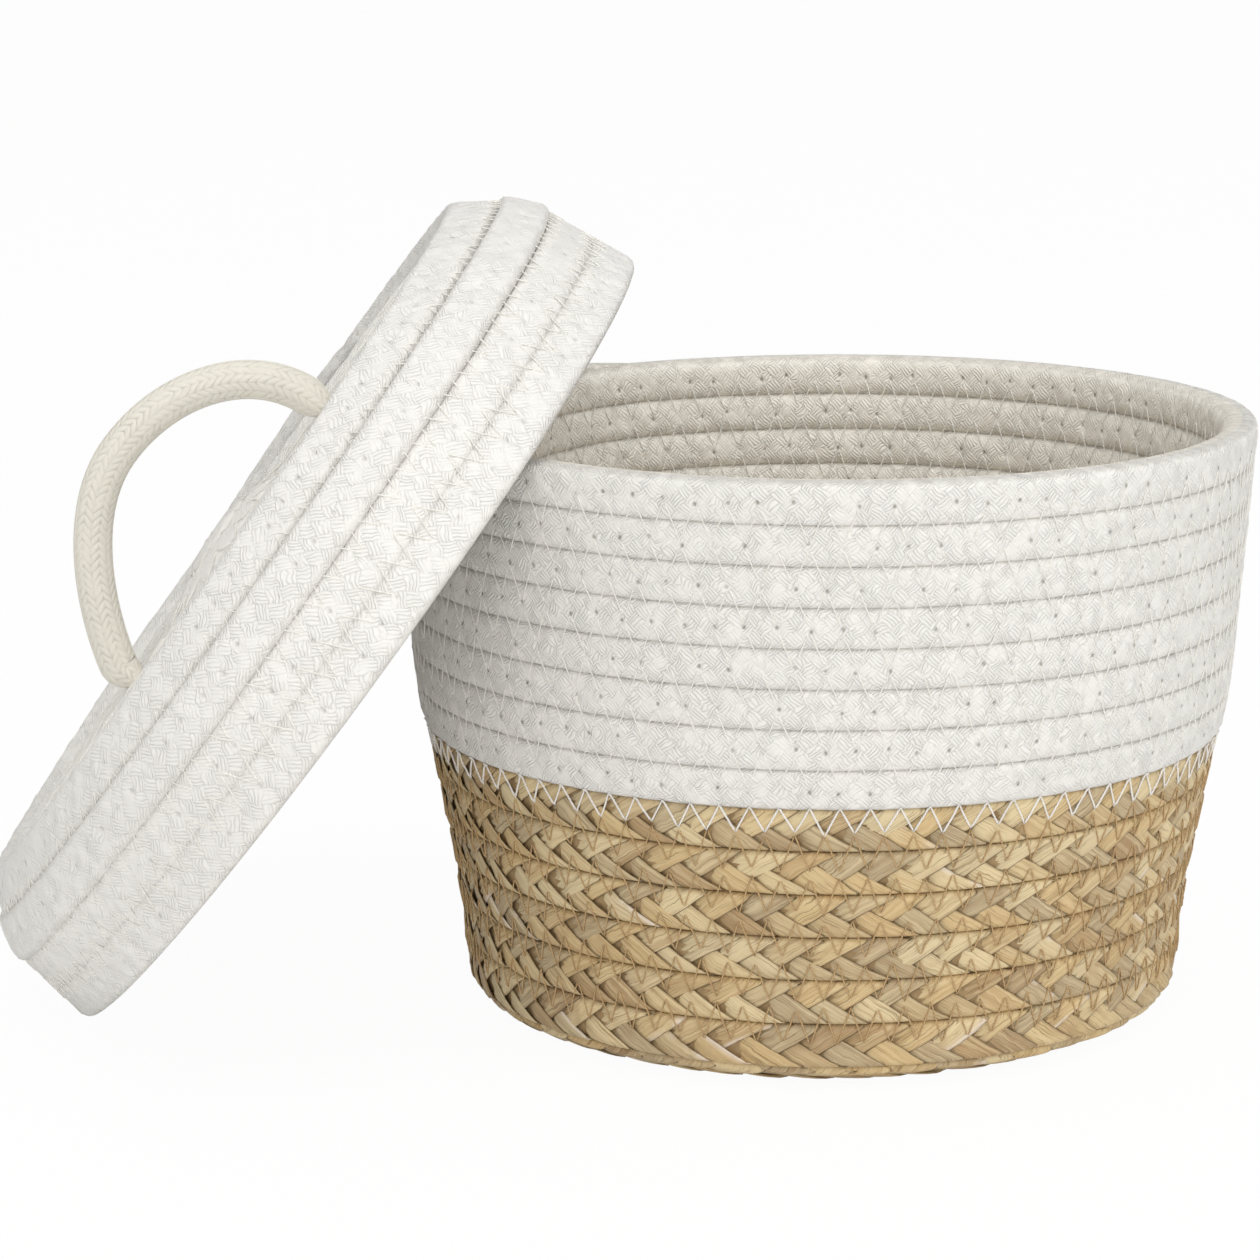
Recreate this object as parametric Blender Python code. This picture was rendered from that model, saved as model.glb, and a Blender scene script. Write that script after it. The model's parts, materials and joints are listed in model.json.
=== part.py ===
"""A lidded knitting basket: a straw-braid foot, a cotton-rope wall and a rope lid that leans on it.

The basket stands on the floor with its axis on Z. The lid stands on its edge at the -X side,
with its hollow over the rim. Metres, +Z up, +X to the viewer's right, +Y away from the viewer.
"""

import math

import bmesh
import bpy
from mathutils import Euler, Matrix, Vector

# The straw braid: its row along the wall, its thickness, and how high the rows repeat.
BRAID_HEIGHT = 0.0106
BRAID_THICKNESS = 0.0060
BRAID_PITCH = 0.0112
BRAID_ROWS = 6

# The cotton rope of the wall, pressed together by its stitches.
ROPE_DIAMETER = 0.0093
ROPE_PITCH = 0.0099
ROPE_ROWS = 8

# The base under the rows: its flat foot, its upper edge, and the rounding of both edges.
BASE_FOOT_RADIUS = 0.0830
BASE_RADIUS = 0.0915
BASE_THICKNESS = 0.0060
BASE_EDGE_ROUNDING = 0.0012

# The outside of the wall, as radii at heights over the floor.
FOOT_HEIGHT = 0.0090
FOOT_RADIUS = 0.0948
HEEL_HEIGHT = 0.0310
HEEL_RADIUS = 0.0968
SHOULDER_HEIGHT = 0.0860
SHOULDER_RADIUS = 0.1070
RIM_HEIGHT = 0.1500
RIM_RADIUS = 0.1120

# The clearance between neighbours that touch on the real basket.
ROW_GAP = 0.0005
TOUCH_GAP = 0.0004

# How a winding climbs: slowly round the wall, and the rest in a short step at the back.
LOOP_POINTS = 24
INNER_LOOP_POINTS = 12
STEP_SHARE = 4 / 24
TOP_SLOW_SHARE = 0.40
START_ANGLE = math.radians(115)
TIP_SHARE = 0.12

# The lid: its opening row, the rows above it, and the shoulder row that turns in to the top.
LID_OPENING_RADIUS = 0.1169
LID_ROW_RISE = 0.0113
LID_ROW_INSET = 0.0015
LID_SHOULDER_RISE = 0.0093
LID_SHOULDER_INSET = 0.0080
LID_WALL_STEPS = 3
LID_TILT_SHARE = 0.09
LID_SLOW_SHARE = 0.10
LID_START_ANGLE = math.radians(60)
LID_ROPE_THICKNESS = 0.0095
LID_TOP_PITCH = 0.01095
LID_TOP_TURNS = 9
LID_INNER_TURNS = 4
LID_DOME_RISE = 0.0055
LID_DOME_RADIUS = 0.0330

# How the lid leans: the angle of its axis, and the clearance of its edge over the floor.
LID_LEAN = math.radians(53.2)
LID_FOOT_GAP = 0.0003

# The carrying handle: a rope arch on the lid, and its sewn ends under the lid.
HANDLE_DIAMETER = 0.0102
HANDLE_GAP_TURN = 4
HANDLE_CROWN_RISE = 0.0346
HANDLE_CROWN_SHIFT = 0.0079
HANDLE_CROWN_PULL = 0.0255
HANDLE_UPPER_RISE = 0.0250
HANDLE_UPPER_LEAN = 0.0080
HANDLE_LOWER_RISE = 0.0234
HANDLE_LOWER_LEAN = 0.0250
HANDLE_STEPS = 9
HANDLE_SIDES = 8
NECK_THICKNESS = 0.0036
NECK_WIDTH = 0.0090
TAIL_LENGTH = 0.0300
TAIL_THICKNESS = 0.0058
TAIL_WIDTH = 0.0120
CUT_OVERRUN = 0.0040

# The white zigzag thread that joins the rope to the straw.
THREAD_DIAMETER = 0.0009
THREAD_STITCHES = 88
THREAD_ABOVE = 0.0016
THREAD_BELOW = 0.0058
THREAD_TUCK = 0.0012


def clear_scene():
    """Start from an empty scene."""
    for item in list(bpy.data.objects):
        bpy.data.objects.remove(item, do_unlink=True)


def make_material(name, colour, roughness):
    """A plain Principled material."""
    material = bpy.data.materials.new(name)
    material.use_nodes = True
    shader = material.node_tree.nodes["Principled BSDF"]
    shader.inputs["Base Color"].default_value = (*colour, 1.0)
    shader.inputs["Roughness"].default_value = roughness
    shader.inputs["Metallic"].default_value = 0.0
    return material


def mix(first, second, share):
    """The value that lies share of the way from first to second."""
    return first + (second - first) * share


def around(angle):
    """The unit vector across the floor at an angle from +X."""
    return Vector((math.cos(angle), math.sin(angle), 0))


def climb(turn_share, slow_share):
    """How much of a row's pitch has been climbed at a share of its turn."""
    step_start = 1 - STEP_SHARE
    if turn_share <= step_start:
        return slow_share * turn_share / step_start
    return mix(slow_share, 1, (turn_share - step_start) / STEP_SHARE)


def section(centre, corner, flat):
    """The six corners of a winding's section.

    Corner and flat are half-width vectors: two corners lie at plus and minus corner, and the
    two flat sides at plus and minus flat.
    """
    half = corner / 2
    offsets = (corner, half + flat, flat - half, -corner, -half - flat, half - flat)
    return [centre + offset for offset in offsets]


def tube(name, outlines, material, parent=None):
    """One closed tube through outlines that have as many points each."""
    mesh = bpy.data.meshes.new(name)
    work = bmesh.new()
    rings = [[work.verts.new(point) for point in outline] for outline in outlines]
    for ring, following in zip(rings, rings[1:]):
        for side in range(len(ring)):
            beside = (side + 1) % len(ring)
            work.faces.new((ring[side], ring[beside], following[beside], following[side]))
    work.faces.new(rings[0])
    work.faces.new(rings[-1])
    bmesh.ops.recalc_face_normals(work, faces=work.faces)
    work.to_mesh(mesh)
    work.free()
    return add_piece(name, mesh, material, parent)


def add_piece(name, mesh, material, parent=None):
    """Put a mesh in the scene as a smooth-shaded object."""
    mesh.materials.append(material)
    mesh.shade_smooth()
    mesh.set_sharp_from_angle(angle=math.radians(75))
    piece = bpy.data.objects.new(name, mesh)
    piece.parent = parent
    bpy.context.collection.objects.link(piece)
    return piece


def turn_counts(first, last, points=LOOP_POINTS):
    """The turns at which a winding has its points, from first to last."""
    steps = round((last - first) * points)
    return [mix(first, last, step / steps) for step in range(steps + 1)]


def wall_rows():
    """The height of each wall row's middle, where its turn begins."""
    heights = [BASE_THICKNESS + ROW_GAP + BRAID_HEIGHT / 2]
    for _ in range(BRAID_ROWS - 1):
        heights.append(heights[-1] + BRAID_PITCH)
    heights.append(heights[-1] + (BRAID_PITCH + ROPE_PITCH) / 2)
    for _ in range(ROPE_ROWS):
        heights.append(heights[-1] + ROPE_PITCH)
    return heights


WALL_ROWS = wall_rows()
WALL_TURNS = BRAID_ROWS + ROPE_ROWS


def wall_climb(turns):
    """The row that a place on the wall's winding belongs to, and its climbed share."""
    row = min(int(turns), WALL_TURNS - 1)
    slow_share = TOP_SLOW_SHARE * row / (WALL_TURNS - 1)
    return row, climb(turns - row, slow_share)


def wall_height(turns):
    """The height of the middle of the wall's winding."""
    row, climbed = wall_climb(turns)
    return mix(WALL_ROWS[row], WALL_ROWS[row + 1], climbed)


def outer_radius(height):
    """The radius of the outside of the wall at a height."""
    profile = ((FOOT_HEIGHT, FOOT_RADIUS), (HEEL_HEIGHT, HEEL_RADIUS),
               (SHOULDER_HEIGHT, SHOULDER_RADIUS), (RIM_HEIGHT, RIM_RADIUS))
    for (low, near), (high, far) in zip(profile, profile[1:]):
        if height <= high or high == RIM_HEIGHT:
            return mix(near, far, (height - low) / (high - low))


def basket_angle(turns):
    """The angle of a place on the basket's winding, which runs clockwise seen from above."""
    return START_ANGLE - turns * math.tau


def braid_station(turns):
    """One section of the straw winding, a flat braid standing on its edge."""
    if turns < 0:
        room = wall_height(turns + 1) - BRAID_HEIGHT / 2 - BASE_THICKNESS - 2 * ROW_GAP
        half = room / 2
        height = BASE_THICKNESS + ROW_GAP + half
    else:
        row, climbed = wall_climb(min(turns, BRAID_ROWS - 1 / LOOP_POINTS**3))
        narrowed = climbed if row == BRAID_ROWS - 1 else 0
        half = mix(BRAID_HEIGHT, ROPE_DIAMETER, narrowed) / 2
        height = wall_height(turns)
    out = around(basket_angle(turns))
    radius = outer_radius(height) - BRAID_THICKNESS / 2
    centre = out * radius + Vector((0, 0, height))
    return section(centre, Vector((0, 0, half)), out * BRAID_THICKNESS / 2)


def rope_station(turns):
    """One section of the rope winding; the rope's end thins out at the rim's back."""
    half = ROPE_DIAMETER / 2
    height = wall_height(turns)
    thinned = half
    last_step = WALL_TURNS - STEP_SHARE
    if turns > last_step:
        thinned = half * mix(1, TIP_SHARE, (turns - last_step) / STEP_SHARE)
        height = wall_height(turns - 1) + half + ROW_GAP + thinned
    out = around(basket_angle(turns))
    centre = out * (outer_radius(height) - half) + Vector((0, 0, height))
    return section(centre, out * mix(thinned, half, STEP_SHARE), Vector((0, 0, thinned)))


def lid_row_angle(turns):
    """The angle of a place on the lid's winding, about the lid's own axis."""
    return LID_START_ANGLE - turns * math.tau


def lid_plane_share(out):
    """How much further up the lid's axis a row lies on the side that points up."""
    return 1 + LID_TILT_SHARE * out.x


def lid_wall_step(turns):
    """The rows climbed by the lid's wall, counted from its opening row."""
    row = min(int(turns), LID_WALL_STEPS)
    return row + climb(turns - row, LID_SLOW_SHARE)


def lid_wall_place(steps, out):
    """The middle of the lid's wall, a number of rows up from the opening row."""
    straight = min(steps, LID_WALL_STEPS - 1)
    turned_in = steps - straight
    radius = LID_OPENING_RADIUS - straight * LID_ROW_INSET - turned_in * LID_SHOULDER_INSET
    rise = straight * LID_ROW_RISE + turned_in * LID_SHOULDER_RISE
    return out * radius + Vector((0, 0, rise * lid_plane_share(out)))


def lid_wall_station(turns):
    """One section of the lid's wall, between its thin start at the opening and its thin end."""
    out = around(lid_row_angle(turns))
    full = ((lid_wall_place(1, out) - lid_wall_place(0, out)).length - ROW_GAP) / 2
    half = full
    if turns < 0:
        half = full * mix(1, TIP_SHARE, -turns / STEP_SHARE)
        steps = lid_wall_step(turns + 1)
        up_wall = lid_wall_place(1, out) - lid_wall_place(0, out)
        centre = lid_wall_place(steps, out) - up_wall.normalized() * (full + ROW_GAP + half)
    elif turns > LID_WALL_STEPS + 1 - STEP_SHARE:
        passed = (turns - LID_WALL_STEPS - 1) / STEP_SHARE + 1
        half = full * mix(1, TIP_SHARE, passed)
        steps = lid_wall_step(turns - 1)
        up_wall = lid_wall_place(LID_WALL_STEPS, out) - lid_wall_place(LID_WALL_STEPS - 1, out)
        spacing = up_wall.length - full + half
        centre = lid_wall_place(steps, out) + up_wall.normalized() * spacing
    else:
        steps = lid_wall_step(turns)
        up_wall = lid_wall_place(steps, out) - lid_wall_place(steps - 1, out)
        centre = lid_wall_place(steps, out)
    up_wall.normalize()
    across = up_wall.cross(out.cross(up_wall)).normalized()
    thin = mix(half / full, 1, STEP_SHARE)
    return section(centre, across * thin * LID_ROPE_THICKNESS / 2, up_wall * half)


def lid_top_level():
    """The height of the middle of the lid's shoulder row over its opening row."""
    return (LID_WALL_STEPS - 1) * LID_ROW_RISE + LID_SHOULDER_RISE


def lid_top_slope():
    """How the lid's top rises along the lid's own X, away from its raised centre."""
    return lid_top_level() * LID_TILT_SHARE / LID_OPENING_RADIUS


def lid_top_radius(turns):
    """The radius of the middle of the lid's flat winding, from the centre outwards."""
    row = min(int(turns), LID_TOP_TURNS - 1)
    return LID_TOP_PITCH * (row + climb(turns - row, LID_SLOW_SHARE) + 1 / 2)


def lid_top_height(radius, out):
    """The height of the middle of the lid's top along the lid's axis, with its raised centre."""
    rise = lid_top_level() + lid_top_slope() * out.x * radius
    if radius >= LID_DOME_RADIUS:
        return rise
    return rise + LID_DOME_RISE * (1 + math.cos(math.pi * radius / LID_DOME_RADIUS)) / 2


def lid_top_station(turns):
    """One section of the lid's flat winding, pressed against its neighbours."""
    out = around(lid_row_angle(turns))
    half = (LID_TOP_PITCH - ROW_GAP) / 2
    thinned = half
    radius = lid_top_radius(turns)
    last_step = LID_TOP_TURNS - STEP_SHARE
    if turns > last_step:
        thinned = half * mix(1, TIP_SHARE, (turns - last_step) / STEP_SHARE)
        radius = lid_top_radius(turns - 1) + half + ROW_GAP + thinned
    centre = out * radius + Vector((0, 0, lid_top_height(radius, out)))
    upright = mix(thinned / half, 1, STEP_SHARE) * LID_ROPE_THICKNESS / 2
    return section(centre, Vector((0, 0, upright)), out * thinned)


def tail_height(along):
    """The height of the middle of a sewn end under the lid, at a place along the lid's X."""
    drop = (LID_ROPE_THICKNESS + TAIL_THICKNESS) / 2 + TOUCH_GAP
    return lid_top_level() + along * lid_top_slope() - drop


def neck_place(side):
    """Where a handle end goes down between two turns of the lid's top; side is +1 or -1."""
    out = Vector((side, 0, 0))
    angle = 0 if side > 0 else -math.pi
    turns = HANDLE_GAP_TURN + (LID_START_ANGLE - angle) / math.tau
    radius = (lid_top_radius(turns - 1) + lid_top_radius(turns)) / 2
    return out * radius + Vector((0, 0, lid_top_height(radius, out)))


def least_gap(name, outlines, points_per_turn):
    """Print the least space between neighbouring turns of one winding, on its points."""
    least = math.inf
    for index, outline in enumerate(outlines):
        for other in outlines[index + points_per_turn // 2:]:
            for first in outline:
                least = min(least, min((first - second).length for second in other))
    print(f"{name}: least gap to itself {least * 1000:.2f} mm")


def make_base(material):
    """The flat round base, with a rounded edge; its underside is the rest face."""
    mesh = bpy.data.meshes.new("base_braid")
    work = bmesh.new()
    bmesh.ops.create_cone(work, cap_ends=True, segments=2 * LOOP_POINTS,
                          radius1=BASE_FOOT_RADIUS, radius2=BASE_RADIUS, depth=BASE_THICKNESS,
                          matrix=Matrix.Translation((0, 0, BASE_THICKNESS / 2)))
    rims = [edge for edge in work.edges if edge.calc_face_angle() > math.radians(25)]
    bmesh.ops.bevel(work, geom=rims, offset=BASE_EDGE_ROUNDING, offset_type="OFFSET",
                    segments=2, profile=0.5, affect="EDGES", material=-1)
    bmesh.ops.recalc_face_normals(work, faces=work.faces)
    work.to_mesh(mesh)
    work.free()
    return add_piece("base_braid", mesh, material)


def make_wall(braid_material, rope_material):
    """The straw winding, and the rope winding that goes on where the straw ends."""
    braid = [braid_station(turns) for turns in turn_counts(-STEP_SHARE, BRAID_ROWS)]
    tube("wall_braid", braid, braid_material)
    least_gap("wall_braid", braid, LOOP_POINTS)
    rope = [rope_station(turns) for turns in turn_counts(BRAID_ROWS, WALL_TURNS)]
    joint_share = ROW_GAP / (math.tau * SHOULDER_RADIUS)
    rope[0] = rope_station(BRAID_ROWS + joint_share)
    tube("wall_rope", rope, rope_material)
    least_gap("wall_rope", rope, LOOP_POINTS)


def facet_share(turns):
    """The radius of the straight-sided loop, as a share of the round it stands for."""
    past_middle = turns * LOOP_POINTS % 1 - 1 / 2
    return math.cos(math.pi / LOOP_POINTS) / math.cos(past_middle * math.tau / LOOP_POINTS)


def make_seam_thread(material):
    """The zigzag thread round the seam between the rope and the straw."""
    half = THREAD_DIAMETER / 2
    run = math.pi * outer_radius(WALL_ROWS[BRAID_ROWS]) / THREAD_STITCHES
    tall = half * math.hypot(run, THREAD_ABOVE + THREAD_BELOW) / run
    upright = Vector((0, 0, tall))
    outlines = []
    for stitch in range(2 * THREAD_STITCHES):
        turns = BRAID_ROWS + stitch / (2 * THREAD_STITCHES)
        seam = wall_height(turns) - ROPE_PITCH / 2
        if stitch % 2:
            height = seam + THREAD_ABOVE
            surface = outer_radius(wall_height(turns)) - THREAD_TUCK
        else:
            height = seam - THREAD_BELOW
            surface = outer_radius(seam - BRAID_HEIGHT / 2)
        out = around(basket_angle(turns))
        radius = surface * facet_share(turns) + TOUCH_GAP + half
        centre = out * radius + Vector((0, 0, height))
        outlines.append([centre + out * half, centre - out * half + upright,
                         centre - out * half - upright])
    tube("seam_thread", outlines, material)


def make_lid_frame():
    """The empty that carries the lid: its origin is the middle of the opening row.

    The lid's edge is down on the floor, and the lid is moved along X until the sewn end of its
    handle touches the rim.
    """
    frame = bpy.data.objects.new("lid_frame", None)
    bpy.context.collection.objects.link(frame)
    lean = Euler((0, -LID_LEAN, 0)).to_matrix()
    lowest = min((lean @ point).z for point in opening_row_points())
    centre = Vector((-RIM_RADIUS, 0, LID_FOOT_GAP - lowest))
    room = math.inf
    for point in rim_points():
        seen = lean.transposed() @ (point - centre)
        room = min(room, tail_height(seen.x) - TAIL_THICKNESS / 2 - seen.z)
    centre.x += (room - TOUCH_GAP) / (math.sin(LID_LEAN) + lid_top_slope() * math.cos(LID_LEAN))
    frame.location = centre
    frame.rotation_euler = (0, -LID_LEAN, 0)
    return frame


def rim_points():
    """The corners of the rim's row where the lid leans on it, at the -X side."""
    leaning = WALL_TURNS - 1 + (START_ANGLE + math.pi) / math.tau
    near = turn_counts(leaning - 1 / LOOP_POINTS, leaning + 1 / LOOP_POINTS)
    return [point for turns in near for point in rope_station(turns)]


def opening_row_points():
    """The corners of the opening row's sections, in the lid's own frame."""
    return [point for turns in turn_counts(-STEP_SHARE, 1) for point in lid_wall_station(turns)]


def make_lid(material, frame, cutters):
    """The lid's wall winding and its flat top winding, with the top opened for the handle."""
    wall = [lid_wall_station(turns) for turns in turn_counts(-STEP_SHARE, LID_WALL_STEPS + 1)]
    tube("lid_wall_coil", wall, material, frame)
    least_gap("lid_wall_coil", wall, LOOP_POINTS)
    inner = turn_counts(0, LID_INNER_TURNS, INNER_LOOP_POINTS)
    outer = turn_counts(LID_INNER_TURNS, LID_TOP_TURNS)
    top = [lid_top_station(turns) for turns in inner[:-1] + outer]
    coil = tube("lid_top_coil", top, material, frame)
    least_gap("lid_top_coil", top, INNER_LOOP_POINTS)
    for cutter in cutters:
        cut = coil.modifiers.new(f"cut_{cutter.name}", "BOOLEAN")
        cut.operation = "DIFFERENCE"
        cut.solver = "EXACT"
        cut.object = cutter
    return coil


def box_mesh(name, size, centre):
    """A closed box as mesh data."""
    mesh = bpy.data.meshes.new(name)
    work = bmesh.new()
    matrix = Matrix.Translation(centre) @ Matrix.Diagonal((*size, 1))
    bmesh.ops.create_cube(work, size=1, matrix=matrix)
    work.to_mesh(mesh)
    work.free()
    return mesh


def add_guide(name, mesh, frame):
    """A helper shape that cuts or joins and isn't part of the model."""
    guide = bpy.data.objects.new(name, mesh)
    guide.parent = frame
    guide.hide_render = True
    guide.display_type = "WIRE"
    bpy.context.collection.objects.link(guide)
    return guide


def neck_size(clearance):
    """The size of the squeezed neck, with a clearance on each side."""
    return Vector((NECK_THICKNESS + 2 * clearance, NECK_WIDTH + 2 * clearance,
                   LID_ROPE_THICKNESS))


def make_neck_cutters(frame):
    """The slots between turns that the handle's ends go down through."""
    cutters = []
    for name, side in (("upper", 1), ("lower", -1)):
        size = neck_size(TOUCH_GAP)
        size.z += 2 * CUT_OVERRUN
        mesh = box_mesh(f"neck_slot_{name}", size, neck_place(side))
        cutters.append(add_guide(f"neck_slot_{name}", mesh, frame))
    return cutters


def make_handle_ends(material, frame):
    """The sewn ends of the handle's rope: a squeezed neck, and a tail flat under the lid."""
    for name, side in (("upper", 1), ("lower", -1)):
        neck = neck_place(side)
        reach = TAIL_LENGTH - TAIL_WIDTH / 2
        outlines = []
        places = (-TAIL_WIDTH / 2, -TAIL_WIDTH / 3, 0, reach / 2, reach, reach + TAIL_WIDTH / 6)
        widths_shares = (0.55, 0.9, 1, 1, 0.9, 0.55)
        for along, width_share in zip(places, widths_shares):
            place = neck.x + side * along
            centre = Vector((place, 0, tail_height(place)))
            corner = Vector((0, TAIL_WIDTH / 2 * width_share, 0))
            outlines.append(section(centre, corner, Vector((0, 0, TAIL_THICKNESS / 2))))
        tail = tube(f"handle_end_{name}", outlines, material, frame)
        size = neck_size(0)
        size.z = LID_ROPE_THICKNESS + TOUCH_GAP + TAIL_THICKNESS / 2
        middle = neck - Vector((0, 0, TOUCH_GAP + TAIL_THICKNESS / 2)) / 2
        guide = add_guide(f"neck_{name}", box_mesh(f"neck_{name}", size, middle), frame)
        joined = tail.modifiers.new("neck", "BOOLEAN")
        joined.operation = "UNION"
        joined.solver = "EXACT"
        joined.object = guide


def handle_foot(side):
    """The middle of the arch's rounded foot, just over the top of the lid."""
    lift = LID_ROPE_THICKNESS / 2 + TOUCH_GAP + HANDLE_DIAMETER / 2
    return neck_place(side) + Vector((0, 0, lift))


def bezier_point(ends, pulls, share):
    """A point on one cubic curve between two ends."""
    first, last = ends
    pull_out, pull_in = pulls
    rest = 1 - share
    return (first * rest**3 + pull_out * (3 * rest**2 * share)
            + pull_in * (3 * rest * share**2) + last * share**3)


def make_handle(material, frame):
    """The rope arch; its frame lies on the line through its two feet, about which it folds."""
    upper, lower = handle_foot(1), handle_foot(-1)
    middle = (upper + lower) / 2
    run = (upper - lower).normalized()
    hinge = bpy.data.objects.new("handle_hinge", None)
    bpy.context.collection.objects.link(hinge)
    hinge.parent = frame
    hinge.location = middle
    hinge.rotation_euler = (0, -math.atan2(run.z, run.x), 0)
    half_span = (upper - lower).length / 2
    foot = Vector((half_span, 0, 0))
    crown = Vector((HANDLE_CROWN_SHIFT, 0, HANDLE_CROWN_RISE))
    pull = Vector((HANDLE_CROWN_PULL, 0, 0))
    upper_pull = foot + Vector((-HANDLE_UPPER_LEAN, 0, HANDLE_UPPER_RISE))
    lower_pull = Vector((HANDLE_LOWER_LEAN, 0, HANDLE_LOWER_RISE)) - foot
    path = []
    for step in range(HANDLE_STEPS):
        share = step / HANDLE_STEPS
        path.append(bezier_point((foot, crown), (upper_pull, crown + pull), share))
    for step in range(HANDLE_STEPS + 1):
        share = step / HANDLE_STEPS
        path.append(bezier_point((crown, -foot), (crown - pull, lower_pull), share))
    tube("handle_rope", arch_outlines(path), material, hinge)


def arch_outlines(path):
    """Round outlines along a path in the XZ plane, with a rounded end beyond each foot."""
    radius = HANDLE_DIAMETER / 2
    side_axis = Vector((0, 1, 0))
    ahead = path[1:] + path[-1:]
    behind = path[:1] + path[:-1]
    tangents = [(after - before).normalized() for after, before in zip(ahead, behind)]
    rings = [(point, tangent, radius) for point, tangent in zip(path, tangents)]
    for angle in (math.radians(35), math.radians(65)):
        past, size = radius * math.sin(angle), radius * math.cos(angle)
        rings.insert(0, (path[0] - tangents[0] * past, tangents[0], size))
        rings.append((path[-1] + tangents[-1] * past, tangents[-1], size))
    outlines = []
    for centre, tangent, size in rings:
        across = tangent.cross(side_axis)
        turns = [math.tau * side / HANDLE_SIDES for side in range(HANDLE_SIDES)]
        outlines.append([centre + size * (side_axis * math.cos(turn) + across * math.sin(turn))
                         for turn in turns])
    return outlines


def main():
    """Model the basket, the lid and the handle."""
    clear_scene()
    straw = make_material("straw_braid", (0.55, 0.42, 0.24), 0.75)
    rope = make_material("cotton_rope", (0.86, 0.84, 0.79), 0.9)
    lid_rope = make_material("lid_rope", (0.88, 0.87, 0.83), 0.9)
    handle_rope = make_material("handle_rope", (0.86, 0.83, 0.74), 0.9)
    thread = make_material("white_thread", (0.9, 0.89, 0.85), 0.7)
    make_base(straw)
    make_wall(straw, rope)
    make_seam_thread(thread)
    frame = make_lid_frame()
    make_lid(lid_rope, frame, make_neck_cutters(frame))
    make_handle_ends(handle_rope, frame)
    make_handle(handle_rope, frame)


main()
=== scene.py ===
"""The looks of a lidded knitting basket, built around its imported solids.

A plaited straw foot, a sewn cotton-rope wall, a rope lid that leans on the rim at the left, and the
lid's rope handle. Metres, +Z up, the origin in the middle of the basket's underside.
"""

import json
import logging
import math
from dataclasses import dataclass, field
from enum import Enum
from typing import Callable

import bmesh
import bpy
import numpy as np
from mathutils import Matrix, Vector


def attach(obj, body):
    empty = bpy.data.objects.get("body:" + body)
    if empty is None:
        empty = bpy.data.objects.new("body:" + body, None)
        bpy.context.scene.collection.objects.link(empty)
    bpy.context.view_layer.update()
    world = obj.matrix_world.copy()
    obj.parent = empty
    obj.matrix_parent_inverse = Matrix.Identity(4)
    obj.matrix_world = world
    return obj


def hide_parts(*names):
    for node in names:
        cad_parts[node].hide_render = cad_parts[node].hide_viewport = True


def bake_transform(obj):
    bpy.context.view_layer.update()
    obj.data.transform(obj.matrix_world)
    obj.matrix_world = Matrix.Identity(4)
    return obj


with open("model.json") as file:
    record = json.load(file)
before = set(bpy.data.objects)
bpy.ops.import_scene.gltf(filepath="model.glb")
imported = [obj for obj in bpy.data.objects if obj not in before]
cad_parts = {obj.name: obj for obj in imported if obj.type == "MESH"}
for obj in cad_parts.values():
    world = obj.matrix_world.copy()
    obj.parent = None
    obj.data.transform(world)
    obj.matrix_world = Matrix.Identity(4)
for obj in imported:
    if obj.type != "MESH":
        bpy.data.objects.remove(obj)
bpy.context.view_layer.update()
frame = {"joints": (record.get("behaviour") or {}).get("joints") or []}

Array = np.ndarray
Colour = tuple[float, float, float]
Band = tuple[float, float]
log = logging.getLogger("basket")

# A wandering curve is a sum of waves, each shorter, lower and shifted against the one before.
WAVE_RATIOS = (1.0, 1.73, 2.61)
SEED_SHIFT = 0.618
WAVE_SHIFT = 0.377
WAVE_FADE = 1.2
WAVE_SUM = 1.6

# A scattered value is the fraction of a sine, stretched until neighbours have nothing in common.
SCATTER_STEP = 12.9898
SCATTER_SEED_STEP = 78.233
SCATTER_STRETCH = 43758.5453

# Added where a vector might have no length.
TINY = 1e-9

# Where a Mix node for colours has its factor, its two colours and its result.
MIX_FACTOR, MIX_FIRST, MIX_SECOND, MIX_RESULT = 0, 6, 7, 2

WHITE = (1.0, 1.0, 1.0)


class Body(Enum):
    """The bodies that pieces ride on."""

    BASKET = "basket"
    LID = "lid"
    HANDLE = "handle"


class Side(Enum):
    """The two faces of a wall, as a sign along its outward direction."""

    OUTSIDE = 1
    INSIDE = -1


class Weave(Enum):
    """How a rope's yarns cross: in slanting blocks, or in columns of small Vs along the rope."""

    BLOCKS = "blocks"
    COLUMNS = "columns"


def mix(first: float | Array, second: float | Array, share: float | Array) -> float | Array:
    """The value that lies share of the way from first to second."""
    return first + (second - first) * share


def unit(vectors: Array) -> Array:
    """Vectors scaled to a length of one."""
    return vectors / np.linalg.norm(vectors, axis=-1, keepdims=True)


def around(angles: Array) -> Array:
    """Unit vectors across the floor at angles from +X."""
    return np.stack([np.cos(angles), np.sin(angles), np.zeros_like(angles)], axis=-1)


def along_z(heights: Array) -> Array:
    """Vectors straight up, one of each height."""
    return np.stack([np.zeros_like(heights), np.zeros_like(heights), heights], axis=-1)


def wander(places: Array, wave: float, seed: int) -> Array:
    """A smooth irregular curve between about -1 and 1.

    Args:
        places: Where to read the curve.
        wave: The length of its waves, in the unit of places.
        seed: Picks one curve of many.

    Returns:
        The curve's values.
    """
    total = np.zeros_like(places)
    for order, ratio in enumerate(WAVE_RATIOS):
        shift = math.tau * math.modf(seed * SEED_SHIFT + order * WAVE_SHIFT)[0]
        total = total + np.sin(math.tau * places / wave * ratio + shift) / (order + WAVE_FADE)
    return total / WAVE_SUM


def scatter(counts: Array, seed: int) -> Array:
    """A value between 0 and 1 for each whole number, the same on every run."""
    turned = np.sin(counts * SCATTER_STEP + seed * SCATTER_SEED_STEP) * SCATTER_STRETCH
    return turned - np.floor(turned)


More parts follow.
